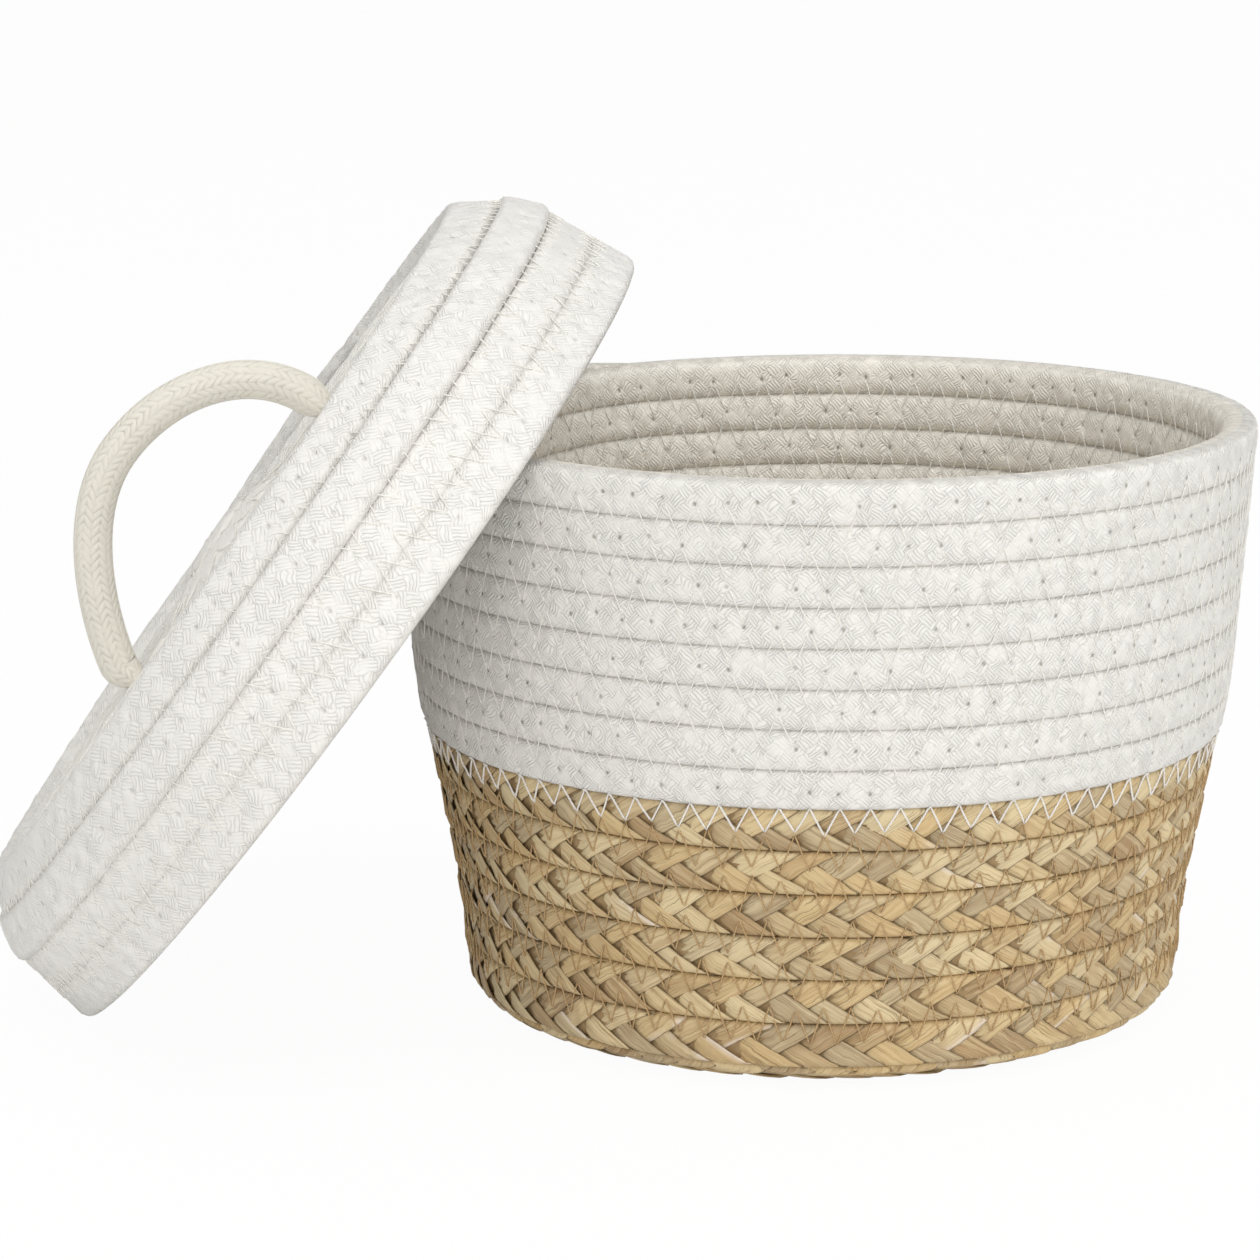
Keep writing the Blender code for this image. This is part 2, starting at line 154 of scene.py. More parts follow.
def eased(share: Array) -> Array:
    """A share from 0 to 1 that starts and ends gently."""
    held = np.clip(share, 0, 1)
    return held * held * (3 - 2 * held)


def travelled(path: Array) -> Array:
    """The length along a path up to each of its points."""
    return np.concatenate([[0.0], np.cumsum(np.linalg.norm(np.diff(path, axis=0), axis=1))])


def joint(name: str) -> dict:
    """The record of one of the frame's joints."""
    return next(record for record in frame["joints"] if record["name"] == name)


@dataclass(frozen=True)
class Placement:
    """Where a sub-assembly's own frame lies in the row frame."""

    origin: Vector = field(default_factory=Vector)
    lean: float = 0.0

    def points(self, local: Array) -> Array:
        """Points of the sub-assembly's own frame, in the row frame."""
        return self.directions(local) + np.array(self.origin)

    def directions(self, local: Array) -> Array:
        """Directions of the sub-assembly's own frame, in the row frame."""
        turn = np.array(Matrix.Rotation(-self.lean, 3, "Y"))
        return local @ turn.T


@dataclass(frozen=True)
class Lay:
    """How a winding climbs: slowly round most of a turn, and the rest in a short step."""

    step_share: float = 4 / 24
    tip_share: float = 0.30
    sink: float = 1.25

    def past_end(self, turns: Array, last: float) -> Array:
        """How far places are through the last step, from 0 where it begins to 1 at the end."""
        return (turns - last + self.step_share) / self.step_share

    def thinned(self, past: Array) -> Array:
        """The rope's thickness as a share, a given way through its thinning step."""
        return mix(1.0, self.tip_share, np.clip(past, 0, 1))

    def sunk(self, tip: Array) -> Array:
        """How far a thinning end sinks into the row beside it, in halves of a row."""
        return self.sink * (1 - tip) ** 2

    def climbed(self, turn_share: Array, slow_share: Array | float) -> Array:
        """How much of a row's pitch is climbed at a share of its turn.

        Args:
            turn_share: How much of the turn is done.
            slow_share: How much of the pitch is climbed before the step.

        Returns:
            Shares of the pitch.
        """
        step_start = 1 - self.step_share
        slow = slow_share * turn_share / step_start
        fast = mix(slow_share, 1.0, eased((turn_share - step_start) / self.step_share))
        return np.where(turn_share <= step_start, slow, fast)


class Winding:
    """One rope or braid laid in rows, as a curve with a section standing on it.

    Turns count how often the winding has gone round. Each kind of winding says where its middle
    lies, which way is outward, and which way the next row lies.
    """

    first: float
    last: float
    start_angle: float
    placement: Placement
    lay: Lay
    samples_per_turn: int = 240
    stitch_pitch: float = 0.0076
    stitches_per_turn: float | None = None
    unsewn_turns: float = 1.14

    def radial(self, turns: Array) -> Array:
        """The unit vector away from the winding's axis."""
        return around(self.start_angle - turns * math.tau)

    def tip(self, turns: Array) -> Array:
        """The rope's thickness as a share, which falls towards its last end."""
        return self.lay.thinned(self.lay.past_end(turns, self.last))

    def ending(self, turns: Array) -> Array:
        """Which places lie in the last step, where the rope thins out."""
        return turns > self.last - self.lay.step_share

    def thinned_half(self, thickness: float, turns: Array) -> Array:
        """Half a rope's depth, which falls less than its height where it thins out."""
        return thickness / 2 * mix(self.tip(turns), 1.0, self.lay.step_share)

    def middle(self, turns: Array) -> Array:
        """The middle of the rope, in the winding's own frame."""
        raise NotImplementedError

    def outward(self, turns: Array) -> Array:
        """The unit vector out of the wall, in the winding's own frame."""
        raise NotImplementedError

    def upward(self, turns: Array) -> Array:
        """The unit vector to the next row, in the winding's own frame."""
        raise NotImplementedError

    def half_height(self, turns: Array) -> Array:
        """Half the rope's size towards the next row."""
        raise NotImplementedError

    def half_depth(self, turns: Array) -> Array:
        """Half the rope's size through the wall."""
        raise NotImplementedError

    def measure(self) -> tuple[Array, Array]:
        """Turns from end to end, and the rope's length at each.

        Returns:
            The turns, and the length up to each.
        """
        count = round((self.last - self.first) * self.samples_per_turn)
        turns = np.linspace(self.first, self.last, count + 1)
        return turns, travelled(self.middle(turns))

    def sewn_to(self) -> float:
        """Where the thread to the next row stops, short of the rope's thinned end."""
        return self.last - self.unsewn_turns

    def length(self) -> float:
        """The rope's whole length."""
        return float(self.measure()[1][-1])

    def turns_at(self, lengths: Array) -> Array:
        """The turns at lengths along the rope."""
        turns, measured = self.measure()
        return np.interp(lengths, measured, turns)

    def stitches(self, turns: Array) -> Array:
        """The stitches sewn up to each turn; half a stitch over a whole number lets rows share.

        Args:
            turns: Places along the winding, in turns.

        Returns:
            Counts of stitches, with their fractions.
        """
        if self.stitches_per_turn is not None:
            return turns * self.stitches_per_turn
        known, measured = self.measure()
        return np.interp(turns, known, measured) / self.stitch_pitch

    def place(self, turns: Array, up: Array, out: Array) -> Array:
        """Points off the rope's middle, in the row frame.

        Args:
            turns: Where along the winding.
            up: How far towards the next row.
            out: How far out of the wall.

        Returns:
            One point for each value of turns.
        """
        local = (self.middle(turns) + self.upward(turns) * up[:, None]
                 + self.outward(turns) * out[:, None])
        return self.placement.points(local)


@dataclass
class BasketWall(Winding):
    """The one winding of the basket's wall: straw braid first, then cotton rope."""

    braid_height: float = 0.0106
    braid_thickness: float = 0.0060
    braid_pitch: float = 0.0112
    braid_rows: int = 6
    rope_diameter: float = 0.0093
    rope_pitch: float = 0.0099
    rope_rows: int = 8
    base_thickness: float = 0.0060
    row_gap: float = 0.0005
    profile_heights: tuple[float, ...] = (0.0090, 0.0310, 0.0860, 0.1500)
    profile_radii: tuple[float, ...] = (0.0948, 0.0968, 0.1070, 0.1120)
    start_angle: float = math.radians(115)
    top_slow_share: float = 0.40
    stitches_per_turn: float | None = 89.5
    lay: Lay = field(default_factory=Lay)
    placement: Placement = field(default_factory=Placement)

    @property
    def turns(self) -> int:
        """The number of turns of straw and rope together."""
        return self.braid_rows + self.rope_rows

    def row_heights(self) -> Array:
        """The height of each row's middle where its turn begins.

        Returns:
            One height for each row, and one past the last.
        """
        first = self.base_thickness + self.row_gap + self.braid_height / 2
        braid = first + self.braid_pitch * np.arange(self.braid_rows)
        seam = braid[-1] + (self.braid_pitch + self.rope_pitch) / 2
        rope = seam + self.rope_pitch * np.arange(self.rope_rows + 1)
        return np.concatenate([braid, rope])

    def height(self, turns: Array) -> Array:
        """The height of the winding's middle.

        Args:
            turns: Places along the winding, in turns.

        Returns:
            Heights over the floor.
        """
        rows = np.clip(np.floor(turns), 0, self.turns - 1).astype(int)
        slow = self.top_slow_share * rows / (self.turns - 1)
        share = self.lay.climbed(turns - rows, slow)
        heights = self.row_heights()
        return mix(heights[rows], heights[rows + 1], share)

    def surface_radius(self, heights: Array) -> Array:
        """The radius of the wall's outside, carried on straight past both ends.

        Args:
            heights: Heights over the floor.

        Returns:
            Radii.
        """
        known, radii = np.array(self.profile_heights), np.array(self.profile_radii)
        below = radii[0] + (heights - known[0]) * (radii[1] - radii[0]) / (known[1] - known[0])
        above = radii[-1] + (heights - known[-1]) * (radii[-1] - radii[-2]) / (known[-1] - known[-2])
        between = np.interp(heights, known, radii)
        return np.where(heights < known[0], below, np.where(heights > known[-1], above, between))

    def outward(self, turns: Array) -> Array:
        """Away from the basket's axis."""
        return self.radial(turns)

    def upward(self, turns: Array) -> Array:
        """Up and a little outward, as the wall leans.

        Args:
            turns: Places along the winding, in turns.

        Returns:
            Unit vectors.
        """
        heights = self.height(turns)
        rise = self.rope_pitch
        flare = self.surface_radius(heights + rise / 2) - self.surface_radius(heights - rise / 2)
        return unit(self.outward(turns) * flare[:, None] + along_z(np.full_like(turns, rise)))


@dataclass
class RopeRows(BasketWall):
    """The cotton rope of the upper wall, with its end thinned out at the back of the rim."""

    press: float = 0.0005

    def __post_init__(self) -> None:
        """Start where the straw ends."""
        self.first, self.last = float(self.braid_rows), float(self.turns)

    def middle(self, turns: Array) -> Array:
        """The middle of the rope, whose thin end lies on the row below.

        Args:
            turns: Places along the winding, in turns.

        Returns:
            Points in the basket's frame.
        """
        tip = self.tip(turns)
        ended = self.height(turns - 1) + self.rope_pitch / 2 * (1 + tip - self.lay.sunk(tip))
        heights = np.where(self.ending(turns), ended, self.height(turns))
        radii = self.surface_radius(heights) - self.rope_diameter / 2
        return self.outward(turns) * radii[:, None] + along_z(heights)

    def half_height(self, turns: Array) -> Array:
        """Half the row's height; rows are pressed together by their stitches."""
        return (self.rope_pitch / 2 + self.press) * self.tip(turns)

    def half_depth(self, turns: Array) -> Array:
        """Half the rope's depth."""
        return self.thinned_half(self.rope_diameter, turns)


@dataclass
class StrawRows(BasketWall):
    """The plaited straw of the lower wall, a flat braid standing on its edge."""

    def __post_init__(self) -> None:
        """Start a step before the first row."""
        self.first, self.last = -self.lay.step_share, float(self.braid_rows)

    def room_below(self, turns: Array) -> Array:
        """The room under the first row, which the braid's thin start fills."""
        return self.height(turns + 1) - self.braid_height / 2 - self.base_thickness

    def middle(self, turns: Array) -> Array:
        """The middle of the braid, whose thin start lies under the first row.

        Args:
            turns: Places along the winding, in turns.

        Returns:
            Points in the basket's frame.
        """
        started = self.base_thickness + self.room_below(turns) / 2
        heights = np.where(turns < 0, started, self.height(turns))
        radii = self.surface_radius(heights) - self.braid_thickness / 2
        return self.outward(turns) * radii[:, None] + along_z(heights)

    def half_height(self, turns: Array) -> Array:
        """Half the row's height, less where the braid starts and where the rope takes over.

        Args:
            turns: Places along the winding, in turns.

        Returns:
            Half heights.
        """
        last = self.lay.climbed(np.clip(turns - self.last + 1, 0, 1), 0.0)
        narrowed = mix(self.braid_pitch / 2, self.rope_pitch / 2, last)
        return np.where(turns < 0, self.room_below(turns) / 2, narrowed)

    def half_depth(self, turns: Array) -> Array:
        """Half the braid's thickness."""
        return np.full_like(turns, self.braid_thickness / 2)


@dataclass
class StrawSpiral(Winding):
    """The plaited straw of the base, wound flat from its middle, with its edge turned up."""

    pitch: float = 0.0114
    rows: int = 8
    first_share: float = 0.30
    edge_radius: float = 0.0915
    least_width: float = 0.30
    heart_turns: float = 0.3
    bend_turns: float = 1.2
    level: float = 0.0029
    thickness: float = 0.0052
    edge_lift: float = 0.0014
    edge_lean: float = math.radians(32)
    start_angle: float = math.radians(115)
    placement: Placement = field(default_factory=Placement)

    def __post_init__(self) -> None:
        """Start in the middle of the base."""
        self.first, self.last = -self.heart_turns, float(self.rows)

    def bent(self, turns: Array) -> Array:
        """How far the braid has turned up towards the wall, from 0 to 1."""
        return eased(turns - self.last + self.bend_turns)

    def edges(self, turns: Array) -> tuple[Array, Array]:
        """The radii between which the row lies.

        The first turn reaches in to the axis, each other turn to the one inside it, and the last
        one narrows against the base's edge.

        Args:
            turns: Places along the winding, in turns.

        Returns:
            The inner radii, and the outer ones.
        """
        inside = turns + self.first_share - 0.5
        width = np.clip(self.edge_radius / self.pitch - inside, self.least_width, 1.0)
        opened = eased((turns - 1 + self.heart_turns) / self.heart_turns)
        return self.pitch * inside * opened, self.pitch * (inside + width)

    def middle(self, turns: Array) -> Array:
        """The middle of the braid.

        Args:
            turns: Places along the winding, in turns.

        Returns:
            Points in the basket's frame.
        """
        inner, outer = self.edges(turns)
        radii = (inner + outer) / 2
        return (self.radial(turns) * radii[:, None]
                + along_z(self.level + self.edge_lift * self.bent(turns)))

    def outward(self, turns: Array) -> Array:
        """Down, because the underside is the outside of the base."""
        lean = self.edge_lean * self.bent(turns)
        return self.radial(turns) * np.sin(lean)[:, None] - along_z(np.cos(lean))

    def upward(self, turns: Array) -> Array:
        """Away from the axis, where the next row lies."""
        lean = self.edge_lean * self.bent(turns)
        return self.radial(turns) * np.cos(lean)[:, None] + along_z(np.sin(lean))

    def half_height(self, turns: Array) -> Array:
        """Half the row's width."""
        inner, outer = self.edges(turns)
        return (outer - inner) / 2

    def half_depth(self, turns: Array) -> Array:
        """Half the braid's thickness."""
        return np.full_like(turns, self.thickness / 2)


@dataclass(frozen=True)
class LidShape:
    """The sizes of the lid, in its own frame: the opening row's middle, and its axis as +Z."""

    opening_radius: float = 0.1169
    row_rise: float = 0.0113
    row_inset: float = 0.0015
    shoulder_rise: float = 0.0093
    shoulder_inset: float = 0.0080
    wall_steps: int = 3
    tilt_share: float = 0.09
    slow_share: float = 0.10
    start_angle: float = math.radians(60)
    rope_thickness: float = 0.0095
    top_pitch: float = 0.01095
    top_turns: int = 9
    dome_rise: float = 0.0055
    dome_radius: float = 0.0330
    wall_press: float = 0.0008
    top_press: float = 0.0005
    hinge_height: float = 0.04173
    hinge_shift: float = -0.00035

    def top_level(self) -> float:
        """The height of the shoulder row's middle over the opening row."""
        return (self.wall_steps - 1) * self.row_rise + self.shoulder_rise

    def top_slope(self) -> float:
        """How the top rises along the lid's own X."""
        return self.top_level() * self.tilt_share / self.opening_radius

    def wall_place(self, steps: Array, out: Array) -> Array:
        """The middle of the wall a number of rows up, on the side that out points to.

        Args:
            steps: Rows above the opening row.
            out: Unit vectors away from the lid's axis.

        Returns:
            Points in the lid's frame.
        """
        straight = np.minimum(steps, self.wall_steps - 1)
        turned_in = steps - straight
        radii = (self.opening_radius - straight * self.row_inset
                 - turned_in * self.shoulder_inset)
        rise = straight * self.row_rise + turned_in * self.shoulder_rise
        return out * radii[:, None] + along_z(rise * (1 + self.tilt_share * out[:, 0]))

    def top_height(self, radii: Array, out: Array) -> Array:
        """The height of the top's middle layer, with its raised centre.

        Args:
            radii: Distances from the lid's axis.
            out: Unit vectors away from the lid's axis.

        Returns:
            Heights over the opening row.
        """
        rise = self.top_level() + self.top_slope() * out[:, 0] * radii
        dome = (1 + np.cos(math.pi * np.minimum(radii / self.dome_radius, 1))) / 2
        return rise + self.dome_rise * dome

    def standing(self) -> Placement:
        """Where the lid's frame stands, taken from the joints of the solids.

        Returns:
            The lid's place in the row frame.
        """
        axis = Vector(joint("lid_lift")["axis"]).normalized()
        lean = math.atan2(-axis.x, axis.z)
        own_x = Vector((math.cos(lean), 0, math.sin(lean)))
        hinge = Vector(joint("handle_fold")["pos_m"])
        origin = hinge - axis * self.hinge_height - own_x * self.hinge_shift
        return Placement(origin, lean)


@dataclass
class LidWall(Winding):
    """The rope rows of the lid's wall, the last of which turns in to the top."""

    shape: LidShape
    placement: Placement
    stitches_per_turn: float | None = 95.5
    lay: Lay = field(default_factory=Lay)

    def __post_init__(self) -> None:
        """Start a step before the opening row."""
        self.first = -self.lay.step_share
        self.last = float(self.shape.wall_steps + 1)
        self.start_angle = self.shape.start_angle

    def steps(self, turns: Array) -> Array:
        """The rows climbed, counted from the opening row."""
        rows = np.clip(np.floor(turns), 0, self.shape.wall_steps)
        return rows + self.lay.climbed(turns - rows, self.shape.slow_share)

    def tip(self, turns: Array) -> Array:
        """The rope's thickness as a share, which falls at both ends."""
        before_start = -turns / self.lay.step_share
        return self.lay.thinned(np.maximum(before_start, self.lay.past_end(turns, self.last)))

    def middle(self, turns: Array) -> Array:
        """The middle of the rope; its thin ends lie against the neighbouring rows.

        Args:
            turns: Places along the winding, in turns.

        Returns:
            Points in the lid's frame.
        """
        shape, out = self.shape, self.radial(turns)
        half = shape.row_rise / 2
        tip = self.tip(turns)
        sunk = self.lay.sunk(tip)
        foot_up = unit(self.row_up(np.ones_like(turns), out))
        shoulder_up = self.row_up(np.full_like(turns, shape.wall_steps), out)
        reach = np.linalg.norm(shoulder_up, axis=1) - half * (1 - tip + sunk)
        start = (shape.wall_place(self.steps(turns + 1), out)
                 - foot_up * (half * (1 + tip - sunk))[:, None])
        end = shape.wall_place(self.steps(turns - 1), out) + unit(shoulder_up) * reach[:, None]
        plain = shape.wall_place(self.steps(turns), out)
        ended = np.where(self.ending(turns)[:, None], end, plain)
        return np.where((turns < 0)[:, None], start, ended)

    def row_up(self, rows: Array, out: Array) -> Array:
        """The step from the row below up to each of these rows."""
        return self.shape.wall_place(rows, out) - self.shape.wall_place(rows - 1, out)

    def upward(self, turns: Array) -> Array:
        """Along the wall towards the top.

        Args:
            turns: Places along the winding, in turns.

        Returns:
            Unit vectors.
        """
        out = self.radial(turns)
        steps = np.clip(self.steps(turns), 0, self.shape.wall_steps)
        ahead = self.shape.wall_place(steps + 0.5, out)
        return unit(ahead - self.shape.wall_place(steps - 0.5, out))

    def outward(self, turns: Array) -> Array:
        """Out of the lid's wall, square to upward."""
        up, out = self.upward(turns), self.radial(turns)
        return unit(out - up * np.sum(out * up, axis=1, keepdims=True))

    def half_height(self, turns: Array) -> Array:
        """Half the row's height."""
        return (self.shape.row_rise / 2 + self.shape.wall_press) * self.tip(turns)

    def half_depth(self, turns: Array) -> Array:
        """Half the rope's depth."""
        return self.thinned_half(self.shape.rope_thickness, turns)


@dataclass
class LidTop(Winding):
    """The rope of the lid's top, wound flat from its raised middle."""

    shape: LidShape
    placement: Placement
    lay: Lay = field(default_factory=Lay)

    def __post_init__(self) -> None:
        """Start in the middle of the top."""
        self.first, self.last = 0.0, float(self.shape.top_turns)
        self.start_angle = self.shape.start_angle

    def radius(self, turns: Array) -> Array:
        """The radius of the rope's middle.

        Args:
            turns: Places along the winding, in turns.

        Returns:
            Distances from the lid's axis.
        """
        rows = np.clip(np.floor(turns), 0, self.shape.top_turns - 1)
        climbed = self.lay.climbed(turns - rows, self.shape.slow_share)
        return self.shape.top_pitch * (rows + climbed + 0.5)

    def middle(self, turns: Array) -> Array:
        """The middle of the rope.

        Args:
            turns: Places along the winding, in turns.

        Returns:
            Points in the lid's frame.
        """
        tip = self.tip(turns)
        ended = self.radius(turns - 1) + self.shape.top_pitch / 2 * (1 + tip - self.lay.sunk(tip))
        radii = np.where(self.ending(turns), ended, self.radius(turns))
        out = self.radial(turns)
        return out * radii[:, None] + along_z(self.shape.top_height(radii, out))

    def outward(self, turns: Array) -> Array:
        """Up along the lid's axis, square to the next row.

        Args:
            turns: Places along the winding, in turns.

        Returns:
            Unit vectors.
        """
        next_row = self.upward(turns)
        up = along_z(np.ones_like(turns))
        return unit(up - next_row * np.sum(up * next_row, axis=1, keepdims=True))

    def upward(self, turns: Array) -> Array:
        """Away from the axis along the top, where the next row lies.

        Args:
            turns: Places along the winding, in turns.

        Returns:
            Unit vectors.
        """
        out = self.radial(turns)
        radii = self.radius(turns)
        nudge = self.shape.top_pitch / 2
        rise = (self.shape.top_height(radii + nudge, out)
                - self.shape.top_height(np.maximum(radii - nudge, 0), out))
        return unit(out * 2 * nudge + along_z(rise))

    def half_height(self, turns: Array) -> Array:
        """Half the row's width across the top."""
        return (self.shape.top_pitch / 2 + self.shape.top_press) * self.tip(turns)

    def half_depth(self, turns: Array) -> Array:
        """Half the rope's depth."""
        return self.thinned_half(self.shape.rope_thickness, turns)


@dataclass(frozen=True)
class Skin:
    """A closed tube's points, and what its material reads: its real lengths and its marks."""

    place: Callable[[Array, Array], Array]
    lengthwise: float
    crosswise: float
    marks: Callable[[Array, Array], Array] | None = None


def wrap(name: str, rings: int, sides: int, skin: Skin) -> bpy.types.Object:
    """Wrap a grid into one closed tube.

    Args:
        name: The piece's name.
        rings: The number of faces along the tube.
        sides: The number of faces around it.
        skin: Where the points lie, as a function of their shares along and around, with the
            tube's real length and girth for its UV map.

    Returns:
        The piece, smooth-shaded, with the UV map "rope" in metres and the attribute "marks".
    """
    work = bmesh.new()
    work.loops.layers.uv.new("rope")
    bmesh.ops.create_grid(work, x_segments=rings, y_segments=sides, size=0.5, calc_uvs=True)
    shares = np.array([vert.co[:2] for vert in work.verts]) + 0.5
    points = skin.place(shares[:, 0], shares[:, 1])
    marks = skin.marks(shares[:, 0], shares[:, 1]) if skin.marks else np.zeros((len(points), 3))
    layer = work.verts.layers.float_color.new("marks")
    for vert, point, mark in zip(work.verts, points, marks):
        vert.co = point
        vert[layer] = (*mark, 1.0)
    first = {round(share[0] * rings): vert for share, vert in zip(shares, work.verts)
             if share[1] < 0.5 / sides}
    seam = {vert: first[round(share[0] * rings)] for share, vert in zip(shares, work.verts)
            if share[1] > 1 - 0.5 / sides}
    bmesh.ops.weld_verts(work, targetmap=seam)
    bmesh.ops.holes_fill(work, edges=[e for e in work.edges if e.is_boundary], sides=0)
    bmesh.ops.recalc_face_normals(work, faces=work.faces)
    mesh = bpy.data.meshes.new(name)
    work.to_mesh(mesh)
    work.free()
    uv_layer = mesh.uv_layers["rope"]
    shares = np.zeros(2 * len(mesh.loops))
    uv_layer.uv.foreach_get("vector", shares)
    shares = shares.reshape(-1, 2) * (skin.lengthwise, skin.crosswise)
    uv_layer.uv.foreach_set("vector", shares.ravel())
    mesh.shade_smooth()
    piece = bpy.data.objects.new(name, mesh)
    bpy.context.collection.objects.link(piece)
    return piece


def join(name: str, pieces: list[bpy.types.Object]) -> bpy.types.Object:
    """Join pieces of one make into one object.

    Args:
        name: The new object's name.
        pieces: The pieces, which are used up.

    Returns:
        The new object.
    """
    work = bmesh.new()
    for piece in pieces:
        work.from_mesh(piece.data)
        bpy.data.objects.remove(piece, do_unlink=True)
    mesh = bpy.data.meshes.new(name)
    work.to_mesh(mesh)
    work.free()
    mesh.shade_smooth()
    joined = bpy.data.objects.new(name, mesh)
    bpy.context.collection.objects.link(joined)
    return joined


class Value:
    """One socket of a material's nodes, with arithmetic that adds Math nodes."""

    def __init__(self, recipe: "Recipe", socket: bpy.types.NodeSocket) -> None:
        """Hold one socket of a recipe's nodes."""
        self.recipe = recipe
        self.socket = socket

    def _math(self, operation: str, *values: "Value | float") -> "Value":
        """A Math node on these values.

        Args:
            operation: What the node does.
            values: What it does it to.

        Returns:
            The result.
        """
        node = self.recipe.node("ShaderNodeMath", {"operation": operation},
                                dict(enumerate(values)))
        return Value(self.recipe, node.outputs[0])

    def __add__(self, other: "Value | float") -> "Value":
        """Self plus other."""
        return self._math("ADD", self, other)

    def __sub__(self, other: "Value | float") -> "Value":
        """Self less other."""
        return self._math("SUBTRACT", self, other)

    def __rsub__(self, other: "Value | float") -> "Value":
        """Other less self."""
        return self._math("SUBTRACT", other, self)

    def __mul__(self, other: "Value | float") -> "Value":
        """Self times other."""
        return self._math("MULTIPLY", self, other)

    def __truediv__(self, other: "Value | float") -> "Value":
        """Self over other."""
        return self._math("DIVIDE", self, other)

    def floor(self) -> "Value":
        """The whole number below."""
        return self._math("FLOOR", self)

    def fraction(self) -> "Value":
        """What is over the whole number below."""
        return self._math("FRACT", self)

    def wave(self) -> "Value":
        """The sine."""
        return self._math("SINE", self)

    def size(self) -> "Value":
        """The value without its sign."""
        return self._math("ABSOLUTE", self)

    def power(self, exponent: float) -> "Value":
        """Self to a power."""
        return self._math("POWER", self, exponent)

    def root(self) -> "Value":
        """The square root."""
        return self._math("SQRT", self)

    def between(self, low: float, high: float) -> "Value":
        """From low to high, where self goes from 0 to 1."""
        return self * (high - low) + low

    def above(self, edge: float) -> "Value":
        """1 where the value is over the edge, else 0."""
        return self._math("GREATER_THAN", self, edge)

    def ramp(self, low: float, high: float) -> "Value":
        """A clamped share of the way from low to high, eased at both ends.

        Args:
            low: Where the share is 0.
            high: Where the share is 1.

        Returns:
            The share.
        """
        node = self.recipe.node("ShaderNodeMapRange", {"interpolation_type": "SMOOTHSTEP"},
                                {"Value": self, "From Min": low, "From Max": high})
        return Value(self.recipe, node.outputs["Result"])


@dataclass(frozen=True)
class Grain:
    """A noise: how fine it is, and how many finer ones lie on it."""

    scale: float
    detail: float = 2.0


